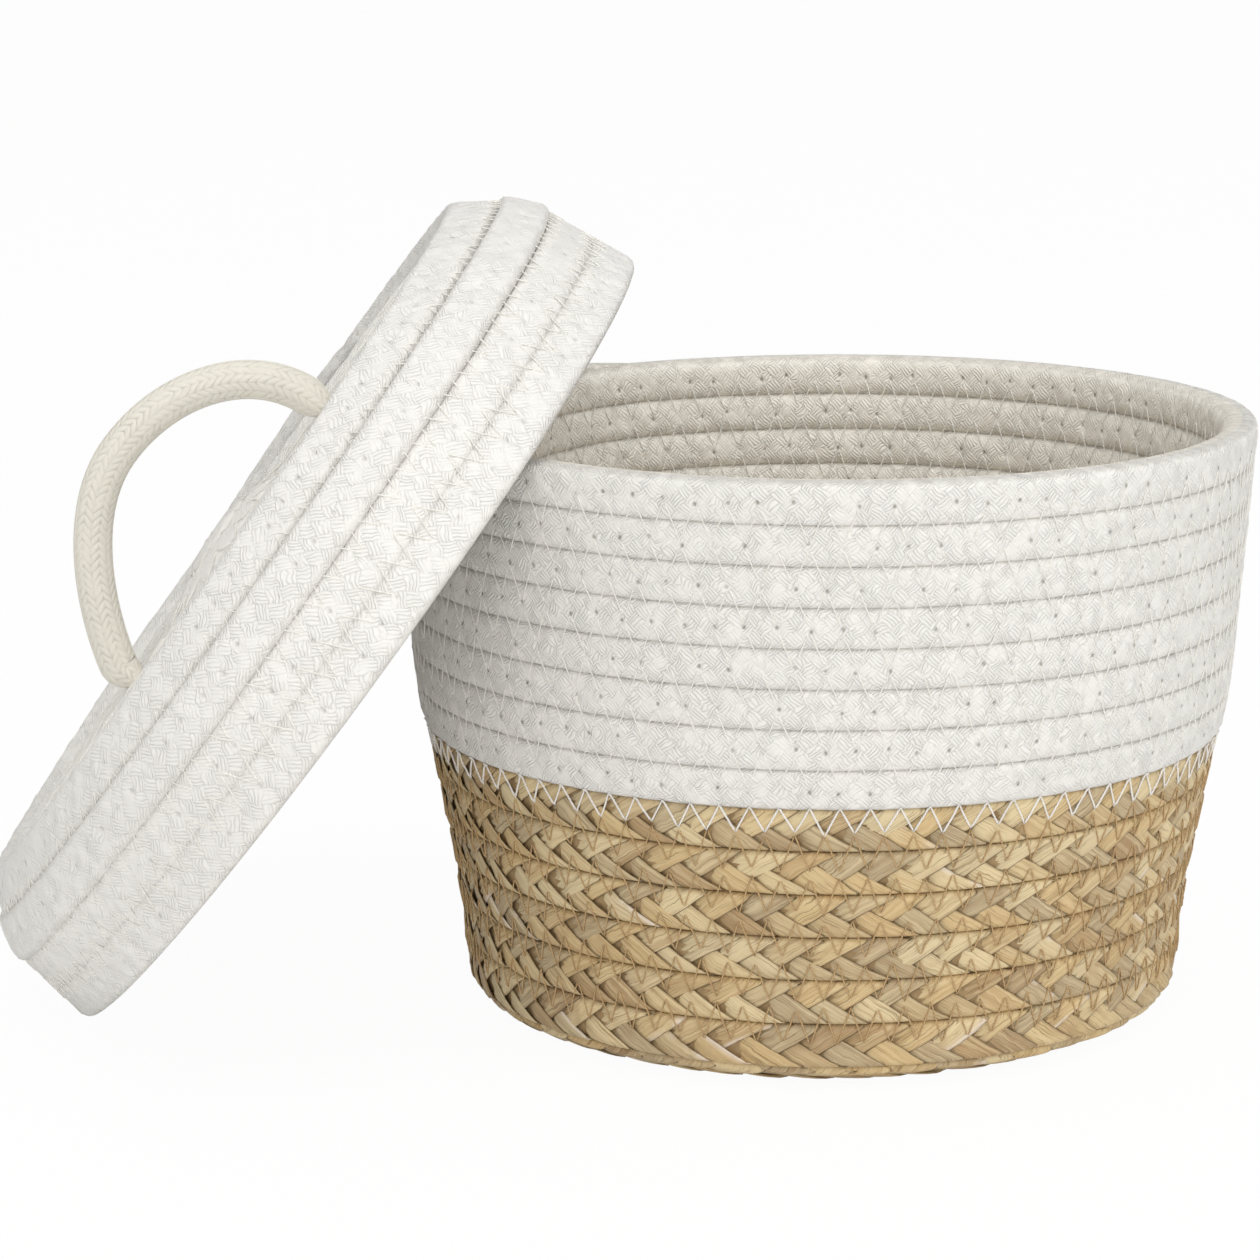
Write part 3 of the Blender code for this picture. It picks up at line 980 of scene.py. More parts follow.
class Recipe:
    """A material under construction: its nodes and its Principled shader."""

    specular: float = 0.25

    def __init__(self, name: str, roughness: float) -> None:
        """Start a material.

        Args:
            name: The material's name.
            roughness: Its roughness.
        """
        self.material = bpy.data.materials.new(name)
        self.material.use_nodes = True
        self.tree = self.material.node_tree
        self.shader = self.tree.nodes["Principled BSDF"]
        self.shader.inputs["Roughness"].default_value = roughness
        self.shader.inputs["Specular IOR Level"].default_value = self.specular

    def node(self, kind: str, settings: dict[str, object],
             inputs: dict[str | int, object]) -> bpy.types.Node:
        """Add a node.

        Args:
            kind: The node's type.
            settings: Its own settings, set first.
            inputs: The value or link of each of its sockets, by name or number.

        Returns:
            The node.
        """
        node = self.tree.nodes.new(kind)
        for key, value in settings.items():
            setattr(node, key, value)
        for key, value in inputs.items():
            if isinstance(value, Value):
                self.tree.links.new(value.socket, node.inputs[key])
            else:
                node.inputs[key].default_value = value
        return node

    def rope_places(self) -> tuple[Value, Value]:
        """The lengths along and around the piece, from its own UV map.

        Returns:
            The length along, and the length around.
        """
        uv = self.node("ShaderNodeUVMap", {"uv_map": "rope"}, {})
        parts = self.node("ShaderNodeSeparateXYZ", {}, {0: Value(self, uv.outputs[0])})
        return Value(self, parts.outputs[0]), Value(self, parts.outputs[1])

    def marks(self) -> tuple[Value, Value, Value]:
        """The three values that the mesh carries for its material.

        Returns:
            The first, second and third value.
        """
        marks = self.node("ShaderNodeAttribute", {"attribute_name": "marks"}, {})
        parts = self.node("ShaderNodeSeparateXYZ", {}, {0: Value(self, marks.outputs["Vector"])})
        return tuple(Value(self, parts.outputs[number]) for number in range(3))

    def object_places(self) -> Value:
        """The piece's own coordinates."""
        return Value(self, self.node("ShaderNodeTexCoord", {}, {}).outputs["Object"])

    def vector(self, x: Value | float, y: Value | float, z: Value | float = 0.0) -> Value:
        """A vector of three values."""
        return Value(self, self.node("ShaderNodeCombineXYZ", {}, {0: x, 1: y, 2: z}).outputs[0])

    def noise(self, places: Value, grain: Grain) -> Value:
        """Smooth noise from 0 to 1.

        Args:
            places: Where to read it.
            grain: How fine it is.

        Returns:
            The noise.
        """
        node = self.node("ShaderNodeTexNoise", {},
                         {"Vector": places, "Scale": grain.scale, "Detail": grain.detail})
        return Value(self, node.outputs["Fac"])

    def streaks(self, places: Value, detail: float) -> Value:
        """Smooth noise from 0 to 1 at places that are already stretched to its scale."""
        return self.noise(places, Grain(1.0, detail))

    def random(self, places: Value) -> Value:
        """A value from 0 to 1 for each place.

        Args:
            places: Where to read it.

        Returns:
            The value.
        """
        node = self.node("ShaderNodeTexWhiteNoise", {"noise_dimensions": "3D"},
                         {"Vector": places})
        return Value(self, node.outputs["Value"])

    def colours(self, share: Value | float, first: "Colour | Value",
                second: "Colour | Value") -> Value:
        """Mix two colours.

        Args:
            share: How much of the second colour there is.
            first: One colour.
            second: The other one.

        Returns:
            The mixed colour.
        """
        node = self.node("ShaderNodeMix", {"data_type": "RGBA"},
                         {MIX_FACTOR: share, MIX_FIRST: full(first), MIX_SECOND: full(second)})
        return Value(self, node.outputs[MIX_RESULT])

    def finish(self, colour: Value, height: Value, depth: float,
               roughness: Value | None = None) -> bpy.types.Material:
        """Link the colour and the relief to the shader.

        Args:
            colour: The base colour.
            height: The relief, from 0 to 1.
            depth: How deep the relief is, in metres.
            roughness: The roughness, where it changes over the surface.

        Returns:
            The finished material.
        """
        bump = self.node("ShaderNodeBump", {}, {"Strength": 1.0, "Distance": depth,
                                                "Height": height})
        self.tree.links.new(colour.socket, self.shader.inputs["Base Color"])
        self.tree.links.new(bump.outputs[0], self.shader.inputs["Normal"])
        if roughness is not None:
            self.tree.links.new(roughness.socket, self.shader.inputs["Roughness"])
        return self.material


def full(colour: "Colour | Value") -> "Value | tuple[float, float, float, float]":
    """A colour with its alpha, or a link as it is."""
    return colour if isinstance(colour, Value) else (*colour, 1.0)


@dataclass(frozen=True)
class CottonFinish:
    """Braided cotton: bundles of yarn that cross on the slant, with needle holes along the rows."""

    name: str
    colour: Colour
    # The hollow colour is painted shade: the weave's hollows, the creases between rows and the
    # needle holes are painted towards it.
    hollow_shade: Colour
    shade: float = 0.30
    depth: float = 0.00045
    roughness: float = 0.95
    # Painted light: a paler colour for the rope's inward half, for the basket's shaded inside.
    inner_painted_light: Colour | None = None
    weave: Weave = Weave.BLOCKS
    bundle: float = 0.0044
    yarns: int = 4
    wide_drift: Grain = Grain(150.0)
    wide_drift_size: float = 1.1
    fine_drift: Grain = Grain(520.0, 1.0)
    fine_drift_size: float = 0.40
    second_drift: float = 0.6
    leg_drift: float = 0.10
    leg_slant: float = 0.9
    level_drift: float = 0.3
    wear: Grain = Grain(230.0)
    wear_band: Band = (0.30, 0.58)
    least_yarn: float = 0.35
    yarn_power: float = 0.7
    yarn_share: float = 0.46
    bulge_power: float = 0.6
    bulge_share: float = 0.34
    fuzz: Grain = Grain(2300.0, 3.0)
    fuzz_share: float = 0.11
    hair_along: float = 420.0
    hair_across: float = 1500.0
    hair_share: float = 0.09
    patches: Grain = Grain(60.0)
    patch_band: Band = (0.35, 0.70)
    least_patch: float = 0.3
    low_band: Band = (0.35, 0.95)
    cell_shades: Band = (0.7, 1.3)
    crease_band: Band = (0.0040, 0.0054)
    crease_breaks: float = 260.0
    break_band: Band = (0.35, 0.60)
    # How strongly the creases between rows are painted towards the hollow colour, as painted shade.
    crease_shade: float = 0.0
    stitch_pitch: float = 0.0076
    hole_radius: float = 0.00042
    hole_edges: Band = (0.3, 1.8)
    # How strongly the needle holes are painted towards the hollow colour, as painted shade.
    hole_shade: float = 0.8
    hole_depth: float = 0.5
    dimple_radius: float = 0.0017
    dimple_depth: float = 0.7
    least_dimple: float = 0.4
    stray_along: float = 0.0012
    stray_across: float = 0.0016
    stray_picks: tuple[float, float, float] = (0.0, 5.0, 9.0)
    open_band: Band = (0.0, 0.70)
    hole_stretch: float = 1.6

    def material(self, girth: float) -> bpy.types.Material:
        """Make the material for a rope of a given girth.

        Args:
            girth: The length round the rope.

        Returns:
            The material.
        """
        recipe = Recipe(self.name, self.roughness)
        along, round_ = recipe.rope_places()
        places = recipe.object_places()
        drift = ((recipe.noise(places, self.wide_drift) - 0.5) * self.wide_drift_size
                 + (recipe.noise(places, self.fine_drift) - 0.5) * self.fine_drift_size)
        worn = recipe.noise(places, self.wear).ramp(*self.wear_band)
        across = round_ * (max(round(girth / self.bundle), 1) / girth)
        woven = self.blocks if self.weave is Weave.BLOCKS else self.columns
        yarn, bulge, cell = woven(recipe, along / self.bundle, across, drift)
        fuzz = recipe.noise(places, self.fuzz)
        hair = recipe.vector(along * self.hair_along, round_ * self.hair_across)
        hair = recipe.streaks(hair, 2.0)
        yarn = 1 - (1 - yarn.power(self.yarn_power)) * worn.between(self.least_yarn, 1.0)
        relief = (yarn * self.yarn_share + bulge.power(self.bulge_power) * self.bulge_share
                  + fuzz * self.fuzz_share + hair * self.hair_share)
        patch = recipe.noise(places, self.patches).ramp(*self.patch_band)
        # Painted shade: the weave's low places are painted towards the hollow colour, more in some
        # patches and blocks.
        low = ((1 - relief).ramp(*self.low_band) * patch.between(self.least_patch, 1.0)
               * cell.between(*self.cell_shades))
        face = self.from_face(round_, girth).size() * (girth / 2)
        # Painted light: the inward half of the rope is painted paler.
        colour = self.painted_light_inside(recipe, round_ / girth) if self.inner_painted_light else self.colour
        colour = recipe.colours(low * self.shade, colour, self.hollow_shade)
        if self.crease_shade:
            colour = self.crease_shaded(recipe, along, face, colour)
        if self.hole_shade:
            away, kept = self.from_hole(recipe, round_, girth)
            inner, outer = self.hole_edges
            hole = (1 - away.ramp(self.hole_radius * inner, self.hole_radius * outer)) * kept
            dimple = ((1 - away.ramp(0.0, self.dimple_radius))
                      * kept.between(self.least_dimple, 1.0))
            # Painted shade in the open needle holes.
            colour = recipe.colours(hole * self.hole_shade, colour, self.hollow_shade)
            relief = relief - dimple * self.dimple_depth - hole * self.hole_depth
        return recipe.finish(colour, relief, self.depth)

    def blocks(self, recipe: Recipe, run: Value, across: Value,
               drift: Value) -> tuple[Value, Value, Value]:
        """Bundles that cross on the slant and take turns to lie over each other.

        Args:
            recipe: The material under construction.
            run: The place along the rope, in bundles.
            across: The place around the rope, in bundles.
            drift: How far the yarns stray.

        Returns:
            The yarns' ridges, the bundles' bulge, and each block's tone.
        """
        first, second = run + across + drift, run - across + drift * self.second_drift
        over = ((first.floor() + second.floor()) / 2).fraction().above(0.25)
        yarn = self.crossed(over, first, second, self.yarns * math.pi)
        bulge = self.crossed(over, second, first, math.pi)
        return yarn, bulge, recipe.random(recipe.vector(first.floor(), second.floor(), over))

    def columns(self, recipe: Recipe, run: Value, across: Value,
                drift: Value) -> tuple[Value, Value, Value]:
        """Columns of small Vs along the rope.

        Args:
            recipe: The material under construction.
            run: The place along the rope, in bundles.
            across: The place around the rope, in bundles.
            drift: How far the yarns stray.

        Returns:
            The yarns' ridges, the legs' bulge, and each V's tone.
        """
        leg = ((across + drift * self.leg_drift).fraction() - 0.5).size() * 2
        level = run * self.yarns + leg * self.leg_slant + drift * self.level_drift
        yarn = (level * math.pi).wave().size()
        bulge = (leg * math.pi).wave().size()
        return yarn, bulge, recipe.random(recipe.vector(level.floor(), (across * 2).floor()))

    def crossed(self, over: Value, first: Value, second: Value, rate: float) -> Value:
        """Ridges along the first bundles where these lie over, else along the second ones."""
        return ((second * rate).wave().size() * over
                + (first * rate).wave().size() * (1 - over))

    def painted_light_inside(self, recipe: Recipe, share: Value) -> Value:
        """The rope's colour, with painted light: paler on the half that faces inward."""
        inner = (share + 0.25).fraction().above(0.5)
        return recipe.colours(inner, self.colour, self.inner_painted_light)

    def crease_shaded(self, recipe: Recipe, along: Value, face: Value, colour: Value) -> Value:
        """The colour, with painted shade in stretches of the crease where the row is pressed to its
        neighbours.

        Args:
            recipe: The material under construction.
            along: The length along the rope.
            face: The way round from the middle of the nearer face.
            colour: The colour so far.

        Returns:
            The new colour.
        """
        pressed = face.ramp(*self.crease_band)
        places = recipe.vector(along * self.crease_breaks, 0.0)
        broken = recipe.streaks(places, 1.0).ramp(*self.break_band)
        return recipe.colours(pressed * broken.between(0.5, 1.0) * self.crease_shade, colour,
                              self.hollow_shade)

    def from_face(self, round_: Value, girth: float) -> Value:
        """The way round from the middle of the nearer face, as a share of half the girth."""
        return (round_ / girth * 2 + 0.5).fraction() - 0.5

    def from_hole(self, recipe: Recipe, round_: Value, girth: float) -> tuple[Value, Value]:
        """The distance to the nearest needle hole, and how open that hole stayed.

        Args:
            recipe: The material under construction.
            round_: The length around the rope.
            girth: The length round the rope.

        Returns:
            The distance, and a share that is 1 for an open hole.
        """
        stitches = recipe.marks()[0]
        number = (stitches + 0.5).floor()
        first, second, third = self.stray_picks
        shift = (recipe.random(recipe.vector(number, first)) - 0.5) * self.stray_along
        other = (recipe.random(recipe.vector(number, second)) - 0.5) * self.stray_across
        kept = recipe.random(recipe.vector(number, third)).ramp(*self.open_band)
        run = ((stitches + 0.5).fraction() - 0.5) * self.stitch_pitch + shift
        side = self.from_face(round_, girth) * (girth / 2) + other
        return (run * run * self.hole_stretch + side * side).root(), kept


@dataclass(frozen=True)
class Layer:
    """How a tone lies over a colour: it comes in from low to high, up to a share."""

    low: float
    high: float
    share: float

    def over(self, recipe: Recipe, colour: Value, tone: Colour, value: Value) -> Value:
        """The colour with the tone laid over it where the value is high."""
        return recipe.colours(value.ramp(self.low, self.high) * self.share, colour, tone)


@dataclass(frozen=True)
class StrawFinish:
    """Dry plaited leaves, each of its own tan, with fine fibres along it."""

    name: str
    tan: Colour = (0.635, 0.465, 0.240)
    grey: Colour = (0.475, 0.375, 0.235)
    brown: Colour = (0.390, 0.255, 0.135)
    pale: Colour = (0.780, 0.655, 0.410)
    husk: Colour = (0.840, 0.740, 0.640)
    # Dark for the fibres, and painted shade along the leaves' edges.
    dark_fibre_and_edge_shade: Colour = (0.150, 0.090, 0.040)
    grey_band: Band = (0.35, 0.85)
    brown_leaves: Layer = Layer(0.66, 0.98, 0.80)
    pale_leaves: Layer = Layer(0.45, 0.95, 0.80)
    pale_streaks: Layer = Layer(0.42, 0.72, 0.50)
    brown_streaks: Layer = Layer(0.50, 0.75, 0.45)
    dark_fibres: Layer = Layer(0.53, 0.71, 0.62)
    pale_fibres: Layer = Layer(0.52, 0.74, 0.35)
    brown_blotches: Layer = Layer(0.52, 0.75, 0.35)
    bend: Grain = Grain(260.0)
    bend_size: float = 0.0011
    streak_along: float = 60.0
    streak_across: float = 1300.0
    fibre_along: float = 150.0
    fibre_across: float = 4600.0
    crumple_along: float = 420.0
    crumple_across: float = 620.0
    blotch: Grain = Grain(130.0, 3.0)
    torn_from: float = 0.93
    husk_edge: Band = (0.35, 0.80)
    husk_band: Band = (0.40, 0.55)
    husk_share: float = 0.85
    # Where and how strongly the leaves' edges are painted with shade.
    edge_shade_band: Band = (0.82, 1.0)
    edge_shade_share: float = 0.78
    streak_share: float = 0.45
    fibre_share: float = 0.25
    crumple_share: float = 0.30
    leaf_shifts: tuple[float, float, float] = (37.0, 53.0, 29.0)
    torn_mix: Band = (7.3, 3.1)
    usual_roughness: float = 0.6
    roughness: Band = (0.5, 0.75)
    depth: float = 0.00050

    def material(self, girth: float) -> bpy.types.Material:
        """Make the material for strands of a given girth.

        Args:
            girth: The length round a strand.

        Returns:
            The material.
        """
        recipe = Recipe(self.name, self.usual_roughness)
        along, round_ = recipe.rope_places()
        first, second, third = recipe.marks()
        places = recipe.object_places()
        bent = recipe.noise(places, self.bend) * self.bend_size
        shifts = self.leaf_shifts
        streak = recipe.streaks(
            recipe.vector(along * self.streak_along, (round_ + bent) * self.streak_across,
                          first * shifts[0]), 4.0)
        fibre = recipe.streaks(
            recipe.vector(along * self.fibre_along, (round_ + bent) * self.fibre_across,
                          second * shifts[1]), 3.0)
        crumple = recipe.streaks(
            recipe.vector(along * self.crumple_along, round_ * self.crumple_across,
                          third * shifts[2]), 3.0)
        blotch = recipe.noise(places, self.blotch)
        colour = recipe.colours(first.ramp(*self.grey_band), self.tan, self.grey)
        colour = self.brown_leaves.over(recipe, colour, self.brown, second)
        colour = self.pale_leaves.over(recipe, colour, self.pale, third)
        colour = self.pale_streaks.over(recipe, colour, self.pale, streak)
        colour = self.brown_streaks.over(recipe, colour, self.brown, 1 - streak)
        colour = self.dark_fibres.over(recipe, colour, self.dark_fibre_and_edge_shade, fibre)
        colour = self.pale_fibres.over(recipe, colour, self.pale, 1 - fibre)
        colour = self.brown_blotches.over(recipe, colour, self.brown, blotch)
        edge = ((round_ / girth * 2).fraction() - 0.5).size() * 2
        torn = second * self.torn_mix[0] + third * self.torn_mix[1]
        torn = torn.fraction().above(self.torn_from)
        husk = edge.ramp(*self.husk_edge) * torn * blotch.ramp(*self.husk_band)
        colour = recipe.colours(husk * self.husk_share, colour, self.husk)
        # Painted shade along each leaf's edges, where it meets its neighbours.
        rim = edge.ramp(*self.edge_shade_band) * (1 - husk) * self.edge_shade_share
        colour = recipe.colours(rim, colour, self.dark_fibre_and_edge_shade)
        relief = (streak * self.streak_share + fibre * self.fibre_share
                  + crumple * self.crumple_share)
        return recipe.finish(colour, relief, self.depth, fibre.between(*self.roughness))


@dataclass(frozen=True)
class ThreadFinish:
    """Twisted sewing thread."""

    name: str
    colour: Colour
    shadow: Colour
    roughness: float = 0.55
    twist: float = 0.0011
    slant: float = 900.0
    ply_shade: float = 0.35
    patch: Grain = Grain(300.0)
    patch_shade: float = 0.15
    depth: float = 0.00012

    def material(self) -> bpy.types.Material:
        """Make the material.

        Returns:
            The material.
        """
        recipe = Recipe(self.name, self.roughness)
        along, round_ = recipe.rope_places()
        ply = ((along / self.twist + round_ * self.slant) * math.pi).wave().size()
        patch = recipe.noise(recipe.object_places(), self.patch)
        shade = (1 - ply) * self.ply_shade + patch * self.patch_shade
        return recipe.finish(recipe.colours(shade, self.colour, self.shadow), ply, self.depth)


@dataclass(frozen=True)
class CoreFinish:
    """The shadowed straw inside the braid."""

    name: str
    colour: Colour
    light: Colour
    roughness: float = 0.9
    grain: Grain = Grain(700.0, 3.0)
    depth: float = 0.0004

    def material(self) -> bpy.types.Material:
        """Make the material.

        Returns:
            The material.
        """
        recipe = Recipe(self.name, self.roughness)
        grain = recipe.noise(recipe.object_places(), self.grain)
        return recipe.finish(recipe.colours(grain, self.colour, self.light), grain, self.depth)


@dataclass(frozen=True)
class Lump:
    """One wave of a rope's unevenness, which sways along the rope from side to side."""

    sway: float
    wave: float
    seed: int


@dataclass(frozen=True)
class RopeTube:
    """A rope laid along a winding, with a section that its neighbours press nearly square."""

    winding: Winding
    spacing: float = 0.0020
    sides: int = 32
    squareness: float = 5.0
    inner_squareness: float = 3.0
    unevenness: float = 0.00020
    lumps: tuple[Lump, ...] = (Lump(0.012, 0.021, 3), Lump(-0.009, 0.009, 5))
    pinch: float = 0.00022
    pinch_power: int = 6
    outline_steps: int = 720

    def girth(self) -> float:
        """The length round the rope.

        Returns:
            The length, taken half-way along the rope.
        """
        middle = np.array([(self.winding.first + self.winding.last) / 2])
        half = float(self.winding.half_height(middle)[0] + self.winding.half_depth(middle)[0]) / 2
        return float(self.outline()[1][-1]) * half

    def outline(self) -> tuple[Array, Array]:
        """Angles round the section, and the length round its outline at each."""
        angles = np.linspace(0, math.tau, self.outline_steps + 1)
        return angles, travelled(self.rounded(angles))

    def rounded(self, angles: Array) -> Array:
        """The section's outward and upward shares at angles round it.

        Args:
            angles: Angles round the section.

        Returns:
            The two shares for each angle.
        """
        power = 2 / np.where(np.cos(angles) > 0, self.squareness, self.inner_squareness)
        sides = np.stack([np.cos(angles), np.sin(angles)], axis=-1)
        return np.sign(sides) * np.abs(sides) ** power[:, None]

    def build(self, name: str) -> bpy.types.Object:
        """Build the rope as one closed tube.

        Args:
            name: The piece's name.

        Returns:
            The piece.
        """
        length = self.winding.length()
        skin = Skin(lambda along, round_: self.place(along * length, round_), length, self.girth(),
                    lambda along, round_: self.marks(along * length))
        return wrap(name, round(length / self.spacing), self.sides, skin)

    def marks(self, lengths: Array) -> Array:
        """The stitches sewn up to each length, in the first of three values."""
        stitches = self.winding.stitches(self.winding.turns_at(lengths))
        return np.stack([stitches, lengths * 0, lengths * 0], axis=-1)

    def place(self, lengths: Array, round_: Array) -> Array:
        """Points of the rope's surface at lengths along it and shares around it.

        Args:
            lengths: Lengths along the rope.
            round_: Shares around it.

        Returns:
            Points in the row frame.
        """
        turns = self.winding.turns_at(lengths)
        known, measured = self.outline()
        angles = np.interp(round_ % 1 * measured[-1], measured, known)
        out_share, up_share = self.rounded(angles).T
        half_out = self.half_depth(lengths, angles)
        return self.winding.place(turns, up_share * self.winding.half_height(turns),
                                  out_share * half_out)

    def half_depth(self, lengths: Array, angles: Array) -> Array:
        """Half the rope's depth, uneven, and pinched a little where a stitch goes through.

        Args:
            lengths: Lengths along the rope.
            angles: Angles round the section.

        Returns:
            Half depths.
        """
        turns = self.winding.turns_at(lengths)
        rough = sum(self.unevenness * wander(lengths + np.sin(angles) * lump.sway, lump.wave,
                                             lump.seed) for lump in self.lumps)
        sewn = np.cos(math.tau * self.winding.stitches(turns)) * 0.5 + 0.5
        dip = self.pinch * sewn * np.abs(np.cos(angles)) ** self.pinch_power
        return self.winding.half_depth(turns) + rough - dip

    def surface(self, lengths: Array, up: Array, side: Side) -> Array:
        """How far the rope's face stands off its middle at places on that face.

        Args:
            lengths: Lengths along the winding.
            up: Heights off its middle.
            side: The face that is meant.

        Returns:
            Distances out of the middle.
        """
        square = self.squareness if side is Side.OUTSIDE else self.inner_squareness
        half_up = self.winding.half_height(self.winding.turns_at(lengths))
        lifted = np.clip(np.abs(up) / half_up, 0, 1) ** (square / 2)
        facing = np.sqrt(1 - lifted**2)
        angles = np.arctan2(np.sign(up) * lifted, side.value * facing)
        return facing ** (2 / square) * self.half_depth(lengths, angles)


@dataclass(frozen=True)
class Plait:
    """Three flat straw strands, folded over at the braid's edges so that each leaf covers the last.

    A leaf is the stretch of a strand between two folds. It starts in front, at one edge of the
    braid, and dives behind the leaves that come after it on its way to the other edge.
    """

    winding: Winding
    period: float = 0.0320
    leaf_reach: float = 0.0074
    thickness: float = 0.0009
    front: float = 0.00120
    slope: float = 0.00145
    dive: float = 0.08
    dive_place: float = 0.58
    flatness: float = 0.20
    edge_room: float = 0.0002
    fold: float = 0.00075
    jitter: float = 0.0015
    bow: float = 0.0013
    bow_spread: float = 2.4
    bow_shift: float = 0.9
    curl: float = 0.00034
    least_reach: float = 0.84
    reach_spread: float = 0.28
    wobble: float = 0.03
    wobble_wave: float = 0.0043
    end_room: float = 0.0002
    end_taper: float = 0.006
    end_depth: float = 0.3
    girth_share: float = 2.2
    nudge_share: float = 0.2
    crowding: float = 0.13
    near_leaves: range = range(-1, 4)
    strands: int = 3
    chance_step: int = 1000
    rings_per_leaf: int = 11
    sides: int = 12
    seed: int = 11

    def build(self, name: str) -> bpy.types.Object:
        """Build the three strands as one piece.

        Args:
            name: The piece's name.

        Returns:
            The piece.
        """
        length = self.winding.length()
        strands = []
        for number in range(self.strands):
            first = math.floor(-2 * number / self.strands * self.rings_per_leaf)
            rings = math.ceil(length / (self.period / 2) * self.rings_per_leaf)
            skin = Skin(lambda along, round_, n=number, f=first, r=rings:
                        self.place((f + along * r) / self.rings_per_leaf, round_, n),
                        length, self.girth(),
                        lambda along, round_, n=number, f=first, r=rings:
                        self.tones((f + along * r) / self.rings_per_leaf, n))
            strands.append(wrap(f"{name}_{number}", rings, self.sides, skin))
        return join(name, strands)

    def girth(self) -> float:
        """The length round a strand."""
        return self.girth_share * self.leaf_reach

    def chance(self, leaf: Array, number: int, order: int) -> Array:
        """A leaf's own value between 0 and 1."""
        return scatter(leaf + self.chance_step * number, self.seed + order)

    def fold_place(self, leaf: Array, number: int) -> Array:
        """Where along the braid a strand folds over to begin a leaf."""
        even = (leaf / 2 + number / self.strands) * self.period
        return even + self.jitter * (2 * self.chance(leaf, number, 5) - 1)

    def tones(self, steps: Array, number: int) -> Array:
        """Three tones of the leaf at each step, from 0 to 1."""
        leaf = np.floor(steps + 0.001)
        return np.stack([self.chance(leaf, number, order) for order in range(3)], axis=-1)

    def depth(self, places: Array, fold: Array) -> Array:
        """How far out the leaf that begins at a fold lies: in front at first, then behind.

        Args:
            places: Lengths along the braid.
            fold: Where the leaf begins.

        Returns:
            Distances out of the braid's middle.
        """
        past = (places - fold) / (self.period / 2)
        return (-self.front * np.tanh((past - self.dive_place) / self.dive)
                - self.slope * (past - 0.5))

    def reach(self, leaf: Array, number: int, lengths: Array) -> Array:
        """Half a leaf's length along the braid's edge, less at both ends of the braid.

        Args:
            leaf: The number of each leaf.
            number: The strand's number.
            lengths: Lengths along the braid.

        Returns:
            Half lengths.
        """
        spread = self.reach_spread * self.chance(leaf, number, 7)
        wide = self.leaf_reach * (self.least_reach + spread)
        wide = wide * (1 + self.wobble * wander(lengths, self.wobble_wave, self.seed + number))
        return np.minimum(wide, np.minimum(lengths, self.winding.length() - lengths))

    def ring(self, leaf: Array, share: Array, number: int) -> Array:
        """The middle of a leaf along the braid when a share of its way is done.

        Args:
            leaf: The number of each leaf.
            share: How much of its way is done.
            number: The strand's number.

        Returns:
            Lengths along the braid.
        """
        start, end = self.fold_place(leaf, number), self.fold_place(leaf + 1, number)
        strength = self.bow * (self.bow_spread * self.chance(leaf, number, 8) - self.bow_shift)
        places = mix(start, end, share) + strength * np.sin(math.pi * share)
        return np.clip(places, self.end_room, self.winding.length() - self.end_room)

    def layer(self, leaf: Array, share: Array, across: Array, number: int) -> Array:
        """Points of a strand's middle layer: the place along the braid, upwards and outwards.

        Args:
            leaf: The number of each point's leaf.
            share: How much of the leaf's way from edge to edge is done.
            across: The place across the leaf, from -1 to 1.
            number: The strand, from 0 to 2.

        Returns:
            One row of three lengths for each point.
        """
        lengths = self.ring(leaf, share, number)
        places = lengths + across * self.reach(leaf, number, lengths)
        start, end = self.fold_place(leaf, number), self.fold_place(leaf + 1, number)
        began = eased((lengths - start) / (2 * self.fold) + 0.5)
        ended = eased((lengths - end) / (2 * self.fold) + 0.5)
        before = self.depth(places, self.fold_place(leaf - 1, number))
        out = mix(before, self.depth(places, start), began)
        out = mix(out, self.depth(places, end), ended)
        swing = np.where(leaf % 2 < 0.5, 1 - 2 * share, 2 * share - 1)
        curl = self.curl * (2 * self.chance(leaf, number, 9) - 1) * across * np.sin(math.pi * share)
        turns = self.winding.turns_at(places)
        limit = self.winding.half_height(turns) + self.edge_room - self.thickness / 2
        ends = eased(np.minimum(lengths, self.winding.length() - lengths) / self.end_taper)
        out = (out * (1 - self.flatness * swing**2) + curl) * mix(self.end_depth, 1.0, ends)
        return np.stack([places, swing * limit, out], axis=-1)

    def place(self, steps: Array, round_: Array, number: int) -> Array:
        """Points of a strand's surface, at steps counted in leaves and shares around it.

        Args:
            steps: Places along the strand, in leaves.
            round_: Shares around it.
            number: The strand's number.

        Returns:
            Points in the row frame.
        """
        angles = round_ * math.tau
        across = np.cos(angles)
        nudge = self.nudge_share / self.rings_per_leaf
        points, behind, ahead = (self.layer(*self.progress(steps + shift), across, number)
                                 for shift in (0.0, -nudge, nudge))
        course = unit((ahead - behind)[:, 1:] + TINY)
        crown = np.sin(angles) * self.thickness / 2
        up = points[:, 1] - course[:, 1] * crown
        out = points[:, 2] + course[:, 0] * crown
        return self.winding.place(self.winding.turns_at(points[:, 0]), up, out)

    def progress(self, steps: Array) -> tuple[Array, Array]:
        """The leaf at each step and the share of its way done; rings crowd at the folds.

        Args:
            steps: Places along the strand, in leaves.

        Returns:
            The number of the leaf, and the share.
        """
        leaf = np.floor(steps + 1e-6)
        share = steps - leaf
        return leaf, share - self.crowding * np.sin(math.tau * share)

